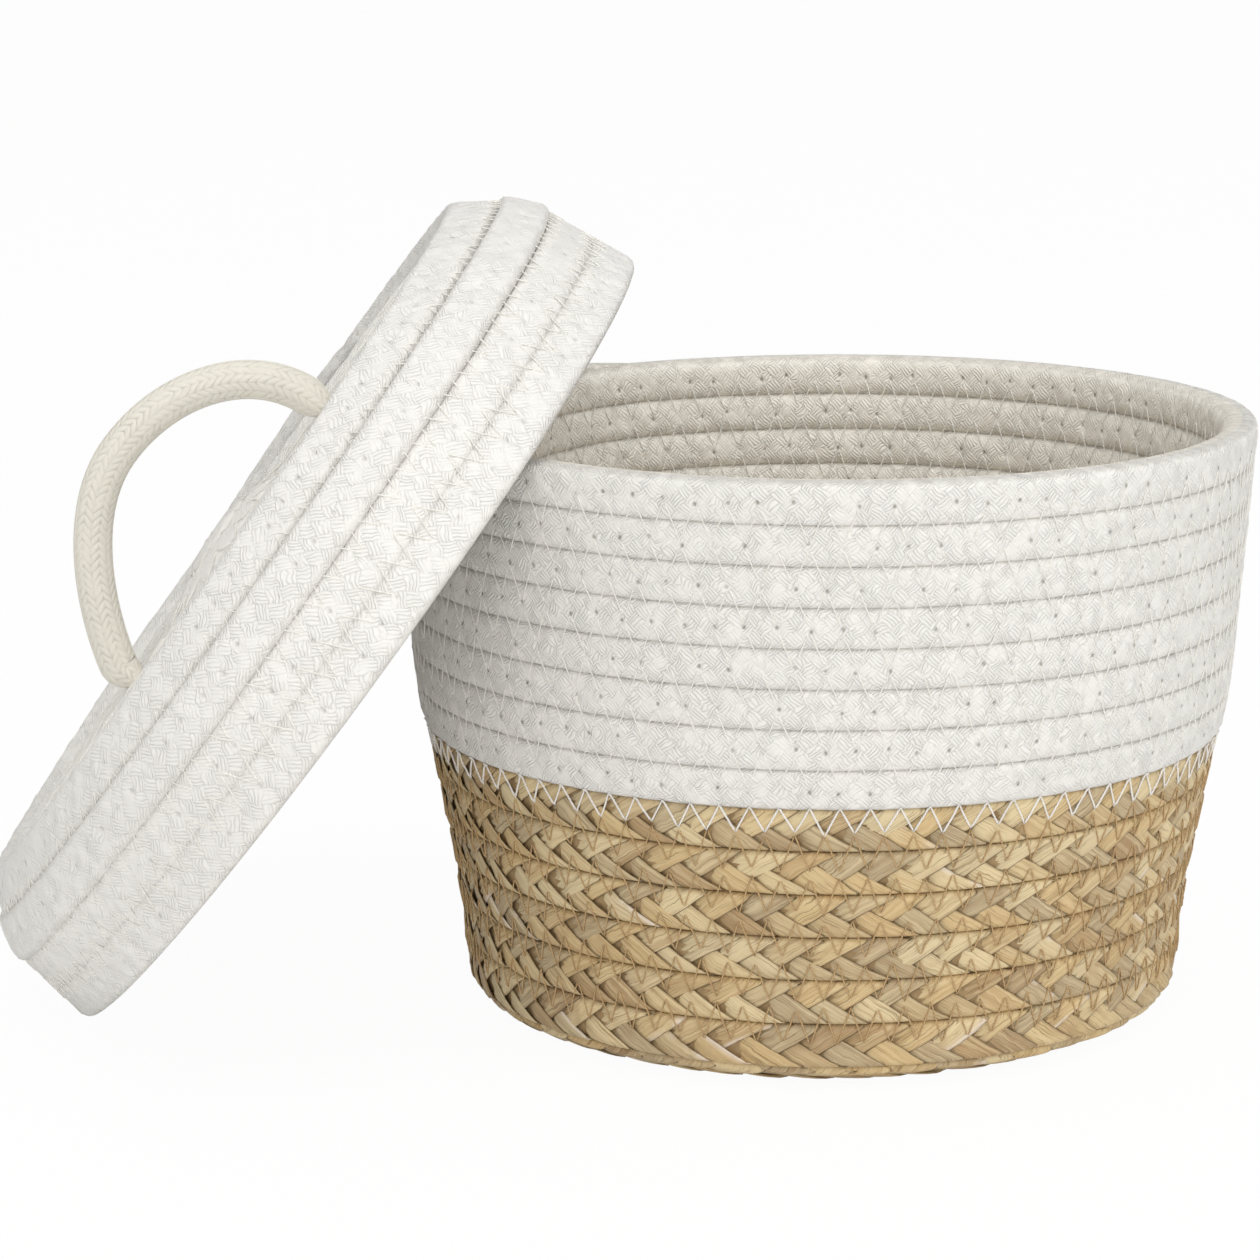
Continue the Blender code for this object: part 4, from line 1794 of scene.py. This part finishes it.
    def surface(self, lengths: Array, up: Array, side: Side) -> Array:
        """How far the outermost leaf stands off the braid's middle at places on its face.

        Args:
            lengths: Lengths along the winding.
            up: Heights off its middle.
            side: The face that is meant.

        Returns:
            Distances out of the middle.
        """
        limit = self.winding.half_height(self.winding.turns_at(lengths)) + self.edge_room
        swing = np.clip(up / limit, -1, 1)
        highest = np.full_like(lengths, self.front)
        for number in range(self.strands):
            first = np.floor((lengths / self.period - number / self.strands) * 2)
            for back in self.near_leaves:
                leaf = first - back
                share = np.where(leaf % 2 < 0.5, 1 - swing, 1 + swing) / 2
                ring = self.ring(leaf, share, number)
                across = (lengths - ring) / np.maximum(self.reach(leaf, number, ring), 1e-6)
                held = np.clip(across, -1, 1)
                top = side.value * self.layer(leaf, share, held, number)[:, 2]
                top = top + self.thickness / 2 * np.sqrt(1 - held**2)
                highest = np.where(np.abs(across) <= 1, np.maximum(highest, top), highest)
        return highest


@dataclass(frozen=True)
class Core:
    """A flat strip inside the braid, so that no light shows between its leaves."""

    winding: Winding
    spacing: float = 0.0040
    thickness: float = 0.0022
    girth: float = 0.02
    edge_room: float = 0.0002
    sides: int = 8

    def build(self, name: str) -> bpy.types.Object:
        """Build the strip.

        Args:
            name: The piece's name.

        Returns:
            The piece.
        """
        length = self.winding.length()
        skin = Skin(lambda along, round_: self.place(along * length, round_), length, self.girth)
        return wrap(name, round(length / self.spacing), self.sides, skin)

    def place(self, lengths: Array, round_: Array) -> Array:
        """Points of the strip's surface.

        Args:
            lengths: Lengths along the strip.
            round_: Shares around it.

        Returns:
            Points in the row frame.
        """
        turns = self.winding.turns_at(lengths)
        angles = round_ * math.tau
        up = np.cos(angles) * (self.winding.half_height(turns) - self.edge_room)
        return self.winding.place(turns, up, np.sin(angles) * self.thickness / 2)


@dataclass(frozen=True)
class Zigzag:
    """A thread that is sewn to and fro over the groove between two rows."""

    winding: Winding
    bed: Callable[[Array, Array, Side], Array]
    first: float
    last: float
    side: Side = Side.OUTSIDE
    below: float = 0.0046
    above: float = 0.0046
    diameter: float = 0.00036
    lift: float = 0.00006
    tuck: float = 0.0007
    tuck_from: float = 0.86
    looseness: float = 0.12
    loose_wave: float = 0.044
    smoothing: int = 7
    end_room: float = 0.002
    points_per_leg: int = 8
    sides: int = 4
    seed: int = 2

    def build(self, name: str) -> bpy.types.Object:
        """Build the thread.

        Args:
            name: The piece's name.

        Returns:
            The piece.
        """
        known = self.winding.measure()[0]
        sewn = self.winding.stitches(known)
        start, end = np.interp([self.first, self.last], known, sewn)
        legs = 2 * math.floor(end) - 2 * math.ceil(start)
        count = legs * self.points_per_leg
        steps = np.arange(count + 1)
        stitches = math.ceil(start) + steps / (2 * self.points_per_leg)
        path = self.path(np.interp(stitches, sewn, known), steps)
        skin = Skin(lambda along, round_: tube_points(path, self.diameter / 2, along, round_),
                    float(travelled(path)[-1]), math.pi * self.diameter)
        return wrap(name, count, self.sides, skin)

    def path(self, turns: Array, steps: Array) -> Array:
        """The thread's middle, in the row frame; it starts in the lower of the two rows.

        Args:
            turns: Places along the winding, in turns.
            steps: Counts of the thread's points.

        Returns:
            Points in the row frame.
        """
        swing = 1 - np.abs((steps / self.points_per_leg) % 2 - 1)
        loose = self.looseness * wander(turns, self.loose_wave, self.seed)
        up = mix(-self.below, self.above, swing) * (1 + loose)
        step = self.winding.middle(turns + 1) - self.winding.middle(turns)
        spacing = np.linalg.norm(step, axis=1)
        known, lengths = self.winding.measure()
        row = np.where(up < 0, turns, turns + 1)
        off_middle = up + np.where(up < 0, spacing, -spacing) / 2
        depth = self.pulled(self.bed(np.interp(row, known, lengths), off_middle, self.side))
        depth = np.where(row > self.winding.last - self.end_room,
                         self.winding.half_depth(turns), depth)
        tip = np.clip((np.abs(swing - 0.5) * 2 - self.tuck_from) / (1 - self.tuck_from), 0, 1)
        depth = depth + self.lift - self.tuck * tip
        out = self.winding.outward(turns) * (self.side.value * depth)[:, None]
        local = self.winding.middle(turns) + step * (0.5 + up / spacing)[:, None] + out
        return self.winding.placement.points(local)

    def pulled(self, depth: Array) -> Array:
        """The depth of a tight thread, which spans the hollows of its bed.

        Args:
            depth: How far the bed lies off the middle.

        Returns:
            How far the thread lies off it.
        """
        held = np.pad(depth, (self.smoothing + 1) // 2, mode="edge")
        peaks = np.maximum(np.maximum(held[:-2], held[1:-1]), held[2:])
        even = np.convolve(peaks, np.ones(self.smoothing) / self.smoothing, mode="valid")
        return np.maximum(depth, even)


def tube_points(path: Array, radius: float, along: Array, round_: Array) -> Array:
    """Points round a thin thread that follows a path.

    Args:
        path: The thread's middle, one row for each ring.
        radius: The thread's radius.
        along: Shares along the path, one ring for each of its points.
        round_: Shares around the thread.

    Returns:
        One point for each share.
    """
    rings = np.rint(along * (len(path) - 1)).astype(int)
    ahead = unit(np.gradient(path, axis=0))
    reference = np.array([0.0, 0.0, 1.0])
    side = unit(np.cross(ahead, reference) + TINY)
    other = np.cross(ahead, side)
    angles = round_ * math.tau
    return (path[rings] + radius * (np.cos(angles)[:, None] * side[rings]
                                    + np.sin(angles)[:, None] * other[rings]))


@dataclass(frozen=True)
class Finishes:
    """Every finish of the basket."""

    # Each cotton's second colour is its hollow colour, painted shade for the weave's hollows,
    # creases and needle holes.
    wall_rope: CottonFinish = CottonFinish("wall cotton", (0.85, 0.84, 0.815), (0.34, 0.315, 0.26),
                                           shade=0.24, depth=0.00055, hole_shade=0.75,
                                           crease_shade=0.30, inner_painted_light=(0.93, 0.90, 0.83))
    lid_rope: CottonFinish = CottonFinish("lid cotton", (0.84, 0.83, 0.81), (0.44, 0.40, 0.33),
                                          shade=0.27, depth=0.00048, bundle=0.0047,
                                          hole_shade=0.20, crease_shade=0.10)
    lid_top: CottonFinish = CottonFinish("lid top cotton", (0.86, 0.85, 0.83), (0.46, 0.42, 0.34),
                                         shade=0.18, depth=0.00030, bundle=0.0054, hole_shade=0.20,
                                         crease_shade=0.15)
    handle_rope: CottonFinish = CottonFinish("handle cotton", (0.81, 0.785, 0.705),
                                             (0.46, 0.40, 0.28), shade=0.42, depth=0.00055,
                                             bundle=0.0046, yarns=2, hole_shade=0.0,
                                             weave=Weave.COLUMNS)
    straw: StrawFinish = StrawFinish("plaited straw")
    # Painted shade: a dark straw colour for the strip inside the braid, where only shade shows.
    core: CoreFinish = CoreFinish("straw core", (0.30, 0.20, 0.10), (0.46, 0.33, 0.18))
    rope_thread: ThreadFinish = ThreadFinish("cream thread", (0.95, 0.94, 0.90), (0.86, 0.83, 0.76))
    seam_thread: ThreadFinish = ThreadFinish("white thread", (0.95, 0.93, 0.90), (0.84, 0.79, 0.72))
    straw_thread: ThreadFinish = ThreadFinish("tan thread", (0.60, 0.42, 0.22), (0.38, 0.25, 0.12))


def fit_out(piece: bpy.types.Object, material: bpy.types.Material, body: Body | None, slot: str,
            *nodes: str) -> None:
    """Dress a piece and tie it to the solids.

    Args:
        piece: The piece.
        material: Its finish.
        body: The body it rides on, or None for a piece that is left unattached.
        slot: The record's material slot; it is not used.
        nodes: The solids that it stands for.
    """
    piece.data.materials.clear()
    piece.data.materials.append(material)
    if body:
        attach(piece, body.value)
    if nodes:
        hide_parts(*nodes)
    log.info("%s: %d faces, on %s", piece.name, len(piece.data.polygons),
             body.value if body else "two bodies")


@dataclass
class Basket:
    """The straw base and wall, the rope wall, and their threads."""

    finishes: Finishes
    straw: StrawRows = field(default_factory=StrawRows)
    rope: RopeRows = field(default_factory=RopeRows)
    base: StrawSpiral = field(default_factory=StrawSpiral)

    def build(self) -> None:
        """Build and dress every piece of the basket."""
        # The strips inside the braids are dressed in painted shade.
        core = self.finishes.core.material()
        plait = Plait(self.straw)
        straw = self.finishes.straw.material(plait.girth())
        fit_out(Plait(self.base, seed=23, front=0.0009, slope=0.0012,
                      rings_per_leaf=9).build("base_straw"), straw, Body.BASKET,
                "straw_braid", "base_braid")
        fit_out(Core(self.base).build("base_shade_core"), core, Body.BASKET, "straw_braid")
        fit_out(plait.build("wall_straw"), straw, Body.BASKET, "straw_braid", "wall_braid")
        fit_out(Core(self.straw).build("wall_shade_core"), core, Body.BASKET, "straw_braid")
        tube = RopeTube(self.rope)
        fit_out(tube.build("wall_rope_rows"), self.finishes.wall_rope.material(tube.girth()),
                Body.BASKET, "cotton_rope", "wall_rope")
        self.sew(plait, tube)

    def sew(self, plait: Plait, tube: RopeTube) -> None:
        """Build the threads over the grooves; they lie on the straw's leaves or on the rope.

        Args:
            plait: The straw of the wall.
            tube: The rope of the wall.
        """
        tan = self.finishes.straw_thread.material()
        cream = self.finishes.rope_thread.material()
        white = self.finishes.seam_thread.material()
        for side in Side:
            word = side.name.lower()
            braid = Zigzag(self.straw, plait.surface, 0.0, self.straw.last - 1, side,
                           lift=0.00012, below=0.0050, above=0.0048, tuck=0.0006,
                           diameter=0.00042, points_per_leg=10)
            fit_out(braid.build(f"straw_thread_{word}"), tan, Body.BASKET, "straw_braid")
            ropes = Zigzag(self.rope, tube.surface, self.rope.first, self.rope.sewn_to(), side)
            fit_out(ropes.build(f"rope_thread_{word}"), cream, Body.BASKET, "white_thread")
            seam = Zigzag(self.straw, plait.surface, self.straw.last - 1, self.straw.last, side,
                          above=0.0008, below=0.0060, diameter=0.00056, lift=0.00016,
                          tuck=0.0004, seed=9)
            nodes = ("seam_thread",) if side is Side.OUTSIDE else ()
            fit_out(seam.build(f"seam_thread_{word}"), white, Body.BASKET, "white_thread", *nodes)


@dataclass
class Lid:
    """The lid's rope wall and top, and their threads."""

    finishes: Finishes
    shape: LidShape = field(default_factory=LidShape)

    def build(self) -> None:
        """Build and dress every piece of the lid."""
        standing = self.shape.standing()
        wall = LidWall(self.shape, standing)
        top = LidTop(self.shape, standing)
        cream = self.finishes.rope_thread.material()
        for winding, finish, word in ((wall, self.finishes.lid_rope, "wall"),
                                      (top, self.finishes.lid_top, "top")):
            tube = RopeTube(winding, squareness=6.0)
            fit_out(tube.build(f"lid_{word}_rope"), finish.material(tube.girth()), Body.LID,
                    "lid_rope", f"lid_{word}_coil")
            for side in Side:
                thread = Zigzag(winding, tube.surface, max(winding.first, 0.0),
                                winding.sewn_to(), side)
                fit_out(thread.build(f"lid_{word}_thread_{side.name.lower()}"), cream, Body.LID,
                        "lid_rope")


@dataclass
class Handle:
    """The rope arch over the lid, with its ends pushed through the top and sewn flat under it."""

    finishes: Finishes
    shape: LidShape = field(default_factory=LidShape)
    diameter: float = 0.0102
    half_span: float = 0.0442
    crown_rise: float = 0.0322
    crown_shift: float = 0.0030
    crown_pull: float = 0.0205
    upper_rise: float = 0.0190
    upper_lean: float = 0.0010
    lower_rise: float = 0.0120
    lower_lean: float = 0.0077
    foot_drop: float = 0.0030
    neck_drop: float = 0.0102
    neck_half: float = 0.0035
    neck_thickness: float = 0.0036
    neck_width: float = 0.0094
    tail_drop: float = 0.0182
    tail_reach: float = 0.0230
    tail_thickness: float = 0.0056
    tail_width: float = 0.0118
    samples: int = 60
    spacing: float = 0.0011
    sides: int = 32

    def build(self) -> None:
        """Build and dress the rope."""
        path, sizes = self.path()
        girth = math.pi * self.diameter
        skin = Skin(lambda along, round_: self.surface(path, sizes, along, round_),
                    float(travelled(path)[-1]), girth)
        arch = wrap("handle_arch", len(path) - 1, self.sides, skin)
        fit_out(arch, self.finishes.handle_rope.material(girth), None, "handle_rope",
                "handle_rope", "handle_end_upper", "handle_end_lower")
        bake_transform(arch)

    def hinge(self) -> tuple[Vector, Vector, Vector]:
        """The hinge's place, its axis, and the direction out of the lid.

        Returns:
            The place, the axis and the direction.
        """
        fold = joint("handle_fold")
        axis = Vector(fold["axis"]).normalized()
        return Vector(fold["pos_m"]), axis, Vector((-axis.z, 0, axis.x))

    def path(self) -> tuple[Array, Array]:
        """The rope's middle from end to end in the row frame, and its half sizes.

        Returns:
            The path's points, and for each its half width across the lid and half thickness.
        """
        foot = np.array([self.half_span, 0, 0])
        crown = np.array([self.crown_shift, 0, self.crown_rise])
        pull = np.array([self.crown_pull, 0, 0])
        upper_pull = foot + np.array([-self.upper_lean, 0, self.upper_rise])
        lower_pull = np.array([self.lower_lean, 0, self.lower_rise]) - foot
        shares = np.linspace(0, 1, self.samples)[:, None]
        upper = bezier(foot, upper_pull, crown + pull, crown, shares)
        lower = bezier(crown, crown - pull, lower_pull, -foot, shares)
        arch = np.concatenate([upper, lower[1:]])
        round_half = np.full((len(arch), 2), self.diameter / 2)
        upper_end, upper_sizes = self.end(1)
        lower_end, lower_sizes = self.end(-1)
        local = np.concatenate([upper_end[::-1], arch, lower_end])
        sizes = np.concatenate([upper_sizes[::-1], round_half, lower_sizes])
        lengths = travelled(local)
        even = np.linspace(0, lengths[-1], round(lengths[-1] / self.spacing) + 1)
        local = np.stack([np.interp(even, lengths, local[:, axis]) for axis in range(3)], axis=1)
        sizes = np.stack([np.interp(even, lengths, sizes[:, axis]) for axis in range(2)], axis=1)
        start, axis, normal = (np.array(vector) for vector in self.hinge())
        return start + local[:, :1] * axis + local[:, 2:] * normal, sizes

    def end(self, side: int) -> tuple[Array, Array]:
        """One sewn end, from its foot to its tip: the path in the hinge's frame, and half sizes.

        Args:
            side: 1 for the upper end, -1 for the lower one.

        Returns:
            The points, and for each its half width and half thickness.
        """
        full_half = self.diameter / 2
        neck, narrow, thin = self.neck_drop, self.neck_width / 2, self.neck_thickness / 2
        tail, wide, thick = self.tail_drop, self.tail_width / 2, self.tail_thickness / 2
        # The way out from the foot, the height, half the width and half the thickness.
        stations = [(0, -self.foot_drop, full_half, full_half * 0.86),
                    (0, -neck + self.neck_half, narrow, thin * 1.25),
                    (0, -neck, narrow, thin),
                    (0, -neck - self.neck_half, narrow, thin * 1.2),
                    (0.0015, -tail + 0.0012, wide * 0.92, thick * 0.85),
                    (0.0050, -tail, wide, thick),
                    (0.0120, -tail, wide, thick),
                    (self.tail_reach - 0.003, -tail, wide * 0.95, thick * 0.95),
                    (self.tail_reach, -tail, wide * 0.3, thick * 0.4)]
        path = np.array([(side * (self.half_span + reach), 0, height)
                         for reach, height, _, _ in stations])
        return path, np.array([station[2:] for station in stations])

    def surface(self, path: Array, sizes: Array, along: Array, round_: Array) -> Array:
        """Points of the rope's surface.

        Args:
            path: The rope's middle.
            sizes: The half width and half thickness at each of its points.
            along: Shares along the rope.
            round_: Shares around it.

        Returns:
            Points in the row frame.
        """
        rings = np.rint(along * (len(path) - 1)).astype(int)
        ahead = unit(np.gradient(path, axis=0))
        side = np.array([0.0, 1.0, 0.0])
        other = np.cross(ahead, side)
        angles = round_ * math.tau
        return (path[rings] + (sizes[rings, 0] * np.cos(angles))[:, None] * side
                + (sizes[rings, 1] * np.sin(angles))[:, None] * other[rings])


def bezier(first: Array, pull_out: Array, pull_in: Array, last: Array, shares: Array) -> Array:
    """Points on one cubic curve between two ends.

    Args:
        first: Where the curve starts.
        pull_out: What it starts towards.
        pull_in: What it ends from.
        last: Where it ends.
        shares: Shares of its way.

    Returns:
        Points on the curve.
    """
    rest = 1 - shares
    return (first * rest**3 + pull_out * 3 * rest**2 * shares + pull_in * 3 * rest * shares**2
            + last * shares**3)


@dataclass(frozen=True)
class Lamp:
    """A square soft lamp."""

    name: str
    place: tuple[float, float, float]
    colour: Colour
    energy: float
    size: float = 1.2

    def hang(self, aim: Vector) -> None:
        """Hang the lamp so that it shines at a point.

        Args:
            aim: The point.
        """
        data = bpy.data.lights.new(self.name, "AREA")
        data.size = self.size
        data.energy = self.energy
        data.color = self.colour
        lamp = bpy.data.objects.new(self.name, data)
        lamp.location = self.place
        turn = (aim - Vector(self.place)).to_track_quat("-Z", "Y")
        lamp.rotation_euler = turn.to_euler()
        bpy.context.collection.objects.link(lamp)


@dataclass
class Studio:
    """The floor, the lamps and the camera."""

    lens: float = 120.15
    sensor_width: float = 36.0
    clip: Band = (0.05, 20.0)
    camera_place: tuple[float, float, float] = (-0.05047, -1.08229, 0.33007)
    pitch: float = math.radians(12.165)
    roll: float = -0.00551
    floor_size: float = 16.0
    floor_colour: Colour = (0.95, 0.95, 0.95)
    floor_roughness: float = 0.9
    floor_glow: float = 0.96
    room_colour: Colour = (1.0, 0.99, 0.97)
    room_light: float = 0.56
    lamps: tuple[Lamp, ...] = (Lamp("key", (1.5, -1.0, 1.0), (1.0, 0.99, 0.98), 7.0),
                               Lamp("fill", (-0.3, -1.7, 0.75), (1.0, 0.97, 0.92), 8.0),
                               Lamp("top", (0.1, -0.5, 1.9), (1.0, 0.99, 0.98), 12.0))
    lamp_aim: tuple[float, float, float] = (0.0, 0.0, 0.08)

    def build(self) -> None:
        """Set up everything around the basket."""
        self.floor()
        self.world()
        for lamp in self.lamps:
            lamp.hang(Vector(self.lamp_aim))
        self.camera()
        bpy.context.scene.view_settings.view_transform = "Standard"

    def floor(self) -> None:
        """Lay the pale floor, which the camera sees as nearly white under a soft shadow."""
        work = bmesh.new()
        bmesh.ops.create_grid(work, x_segments=1, y_segments=1, size=self.floor_size / 2)
        mesh = bpy.data.meshes.new("floor")
        work.to_mesh(mesh)
        work.free()
        floor = bpy.data.objects.new("floor", mesh)
        bpy.context.collection.objects.link(floor)
        recipe = Recipe("pale floor", self.floor_roughness)
        recipe.shader.inputs["Base Color"].default_value = full(self.floor_colour)
        glow = recipe.node("ShaderNodeEmission", {}, {"Color": full(WHITE)})
        mixer = recipe.node("ShaderNodeMixShader", {}, {0: seen(recipe) * self.floor_glow})
        recipe.tree.links.new(recipe.shader.outputs[0], mixer.inputs[1])
        recipe.tree.links.new(glow.outputs[0], mixer.inputs[2])
        output = recipe.tree.nodes["Material Output"]
        recipe.tree.links.new(mixer.outputs[0], output.inputs["Surface"])
        mesh.materials.append(recipe.material)

    def world(self) -> None:
        """Light the room evenly, and show white behind the basket."""
        world = bpy.data.worlds.new("studio")
        bpy.context.scene.world = world
        world.use_nodes = True
        nodes, links = world.node_tree.nodes, world.node_tree.links
        light = nodes["Background"]
        light.inputs["Color"].default_value = full(self.room_colour)
        light.inputs["Strength"].default_value = self.room_light
        white = nodes.new("ShaderNodeBackground")
        white.inputs["Color"].default_value = full(WHITE)
        path = nodes.new("ShaderNodeLightPath")
        mixer = nodes.new("ShaderNodeMixShader")
        links.new(path.outputs["Is Camera Ray"], mixer.inputs[0])
        links.new(light.outputs[0], mixer.inputs[1])
        links.new(white.outputs[0], mixer.inputs[2])
        links.new(mixer.outputs[0], nodes["World Output"].inputs["Surface"])

    def camera(self) -> None:
        """Stand the camera where the photograph was taken."""
        data = bpy.data.cameras.new("camera")
        data.lens = self.lens
        data.sensor_width = self.sensor_width
        data.clip_start, data.clip_end = self.clip
        camera = bpy.data.objects.new("camera", data)
        camera.location = self.camera_place
        turn = (Matrix.Rotation(math.pi / 2 - self.pitch, 3, "X")
                @ Matrix.Rotation(self.roll, 3, "Z"))
        camera.rotation_euler = turn.to_euler()
        bpy.context.collection.objects.link(camera)
        bpy.context.scene.camera = camera


def seen(recipe: Recipe) -> Value:
    """1 where the camera, a reflection or a view through glass looks, else 0.

    Args:
        recipe: The material under construction.

    Returns:
        The value.
    """
    path = recipe.node("ShaderNodeLightPath", {}, {})
    rays = [Value(recipe, path.outputs[f"Is {kind} Ray"])
            for kind in ("Camera", "Glossy", "Transmission")]
    return (rays[0] + rays[1] + rays[2]).above(0.5)


def main() -> None:
    """Build the basket, the lid, the handle and the studio."""
    logging.basicConfig(level=logging.INFO, format="%(name)s: %(message)s")
    finishes = Finishes()
    Basket(finishes).build()
    Lid(finishes).build()
    Handle(finishes).build()
    Studio().build()


if __name__ == "__main__":
    main()
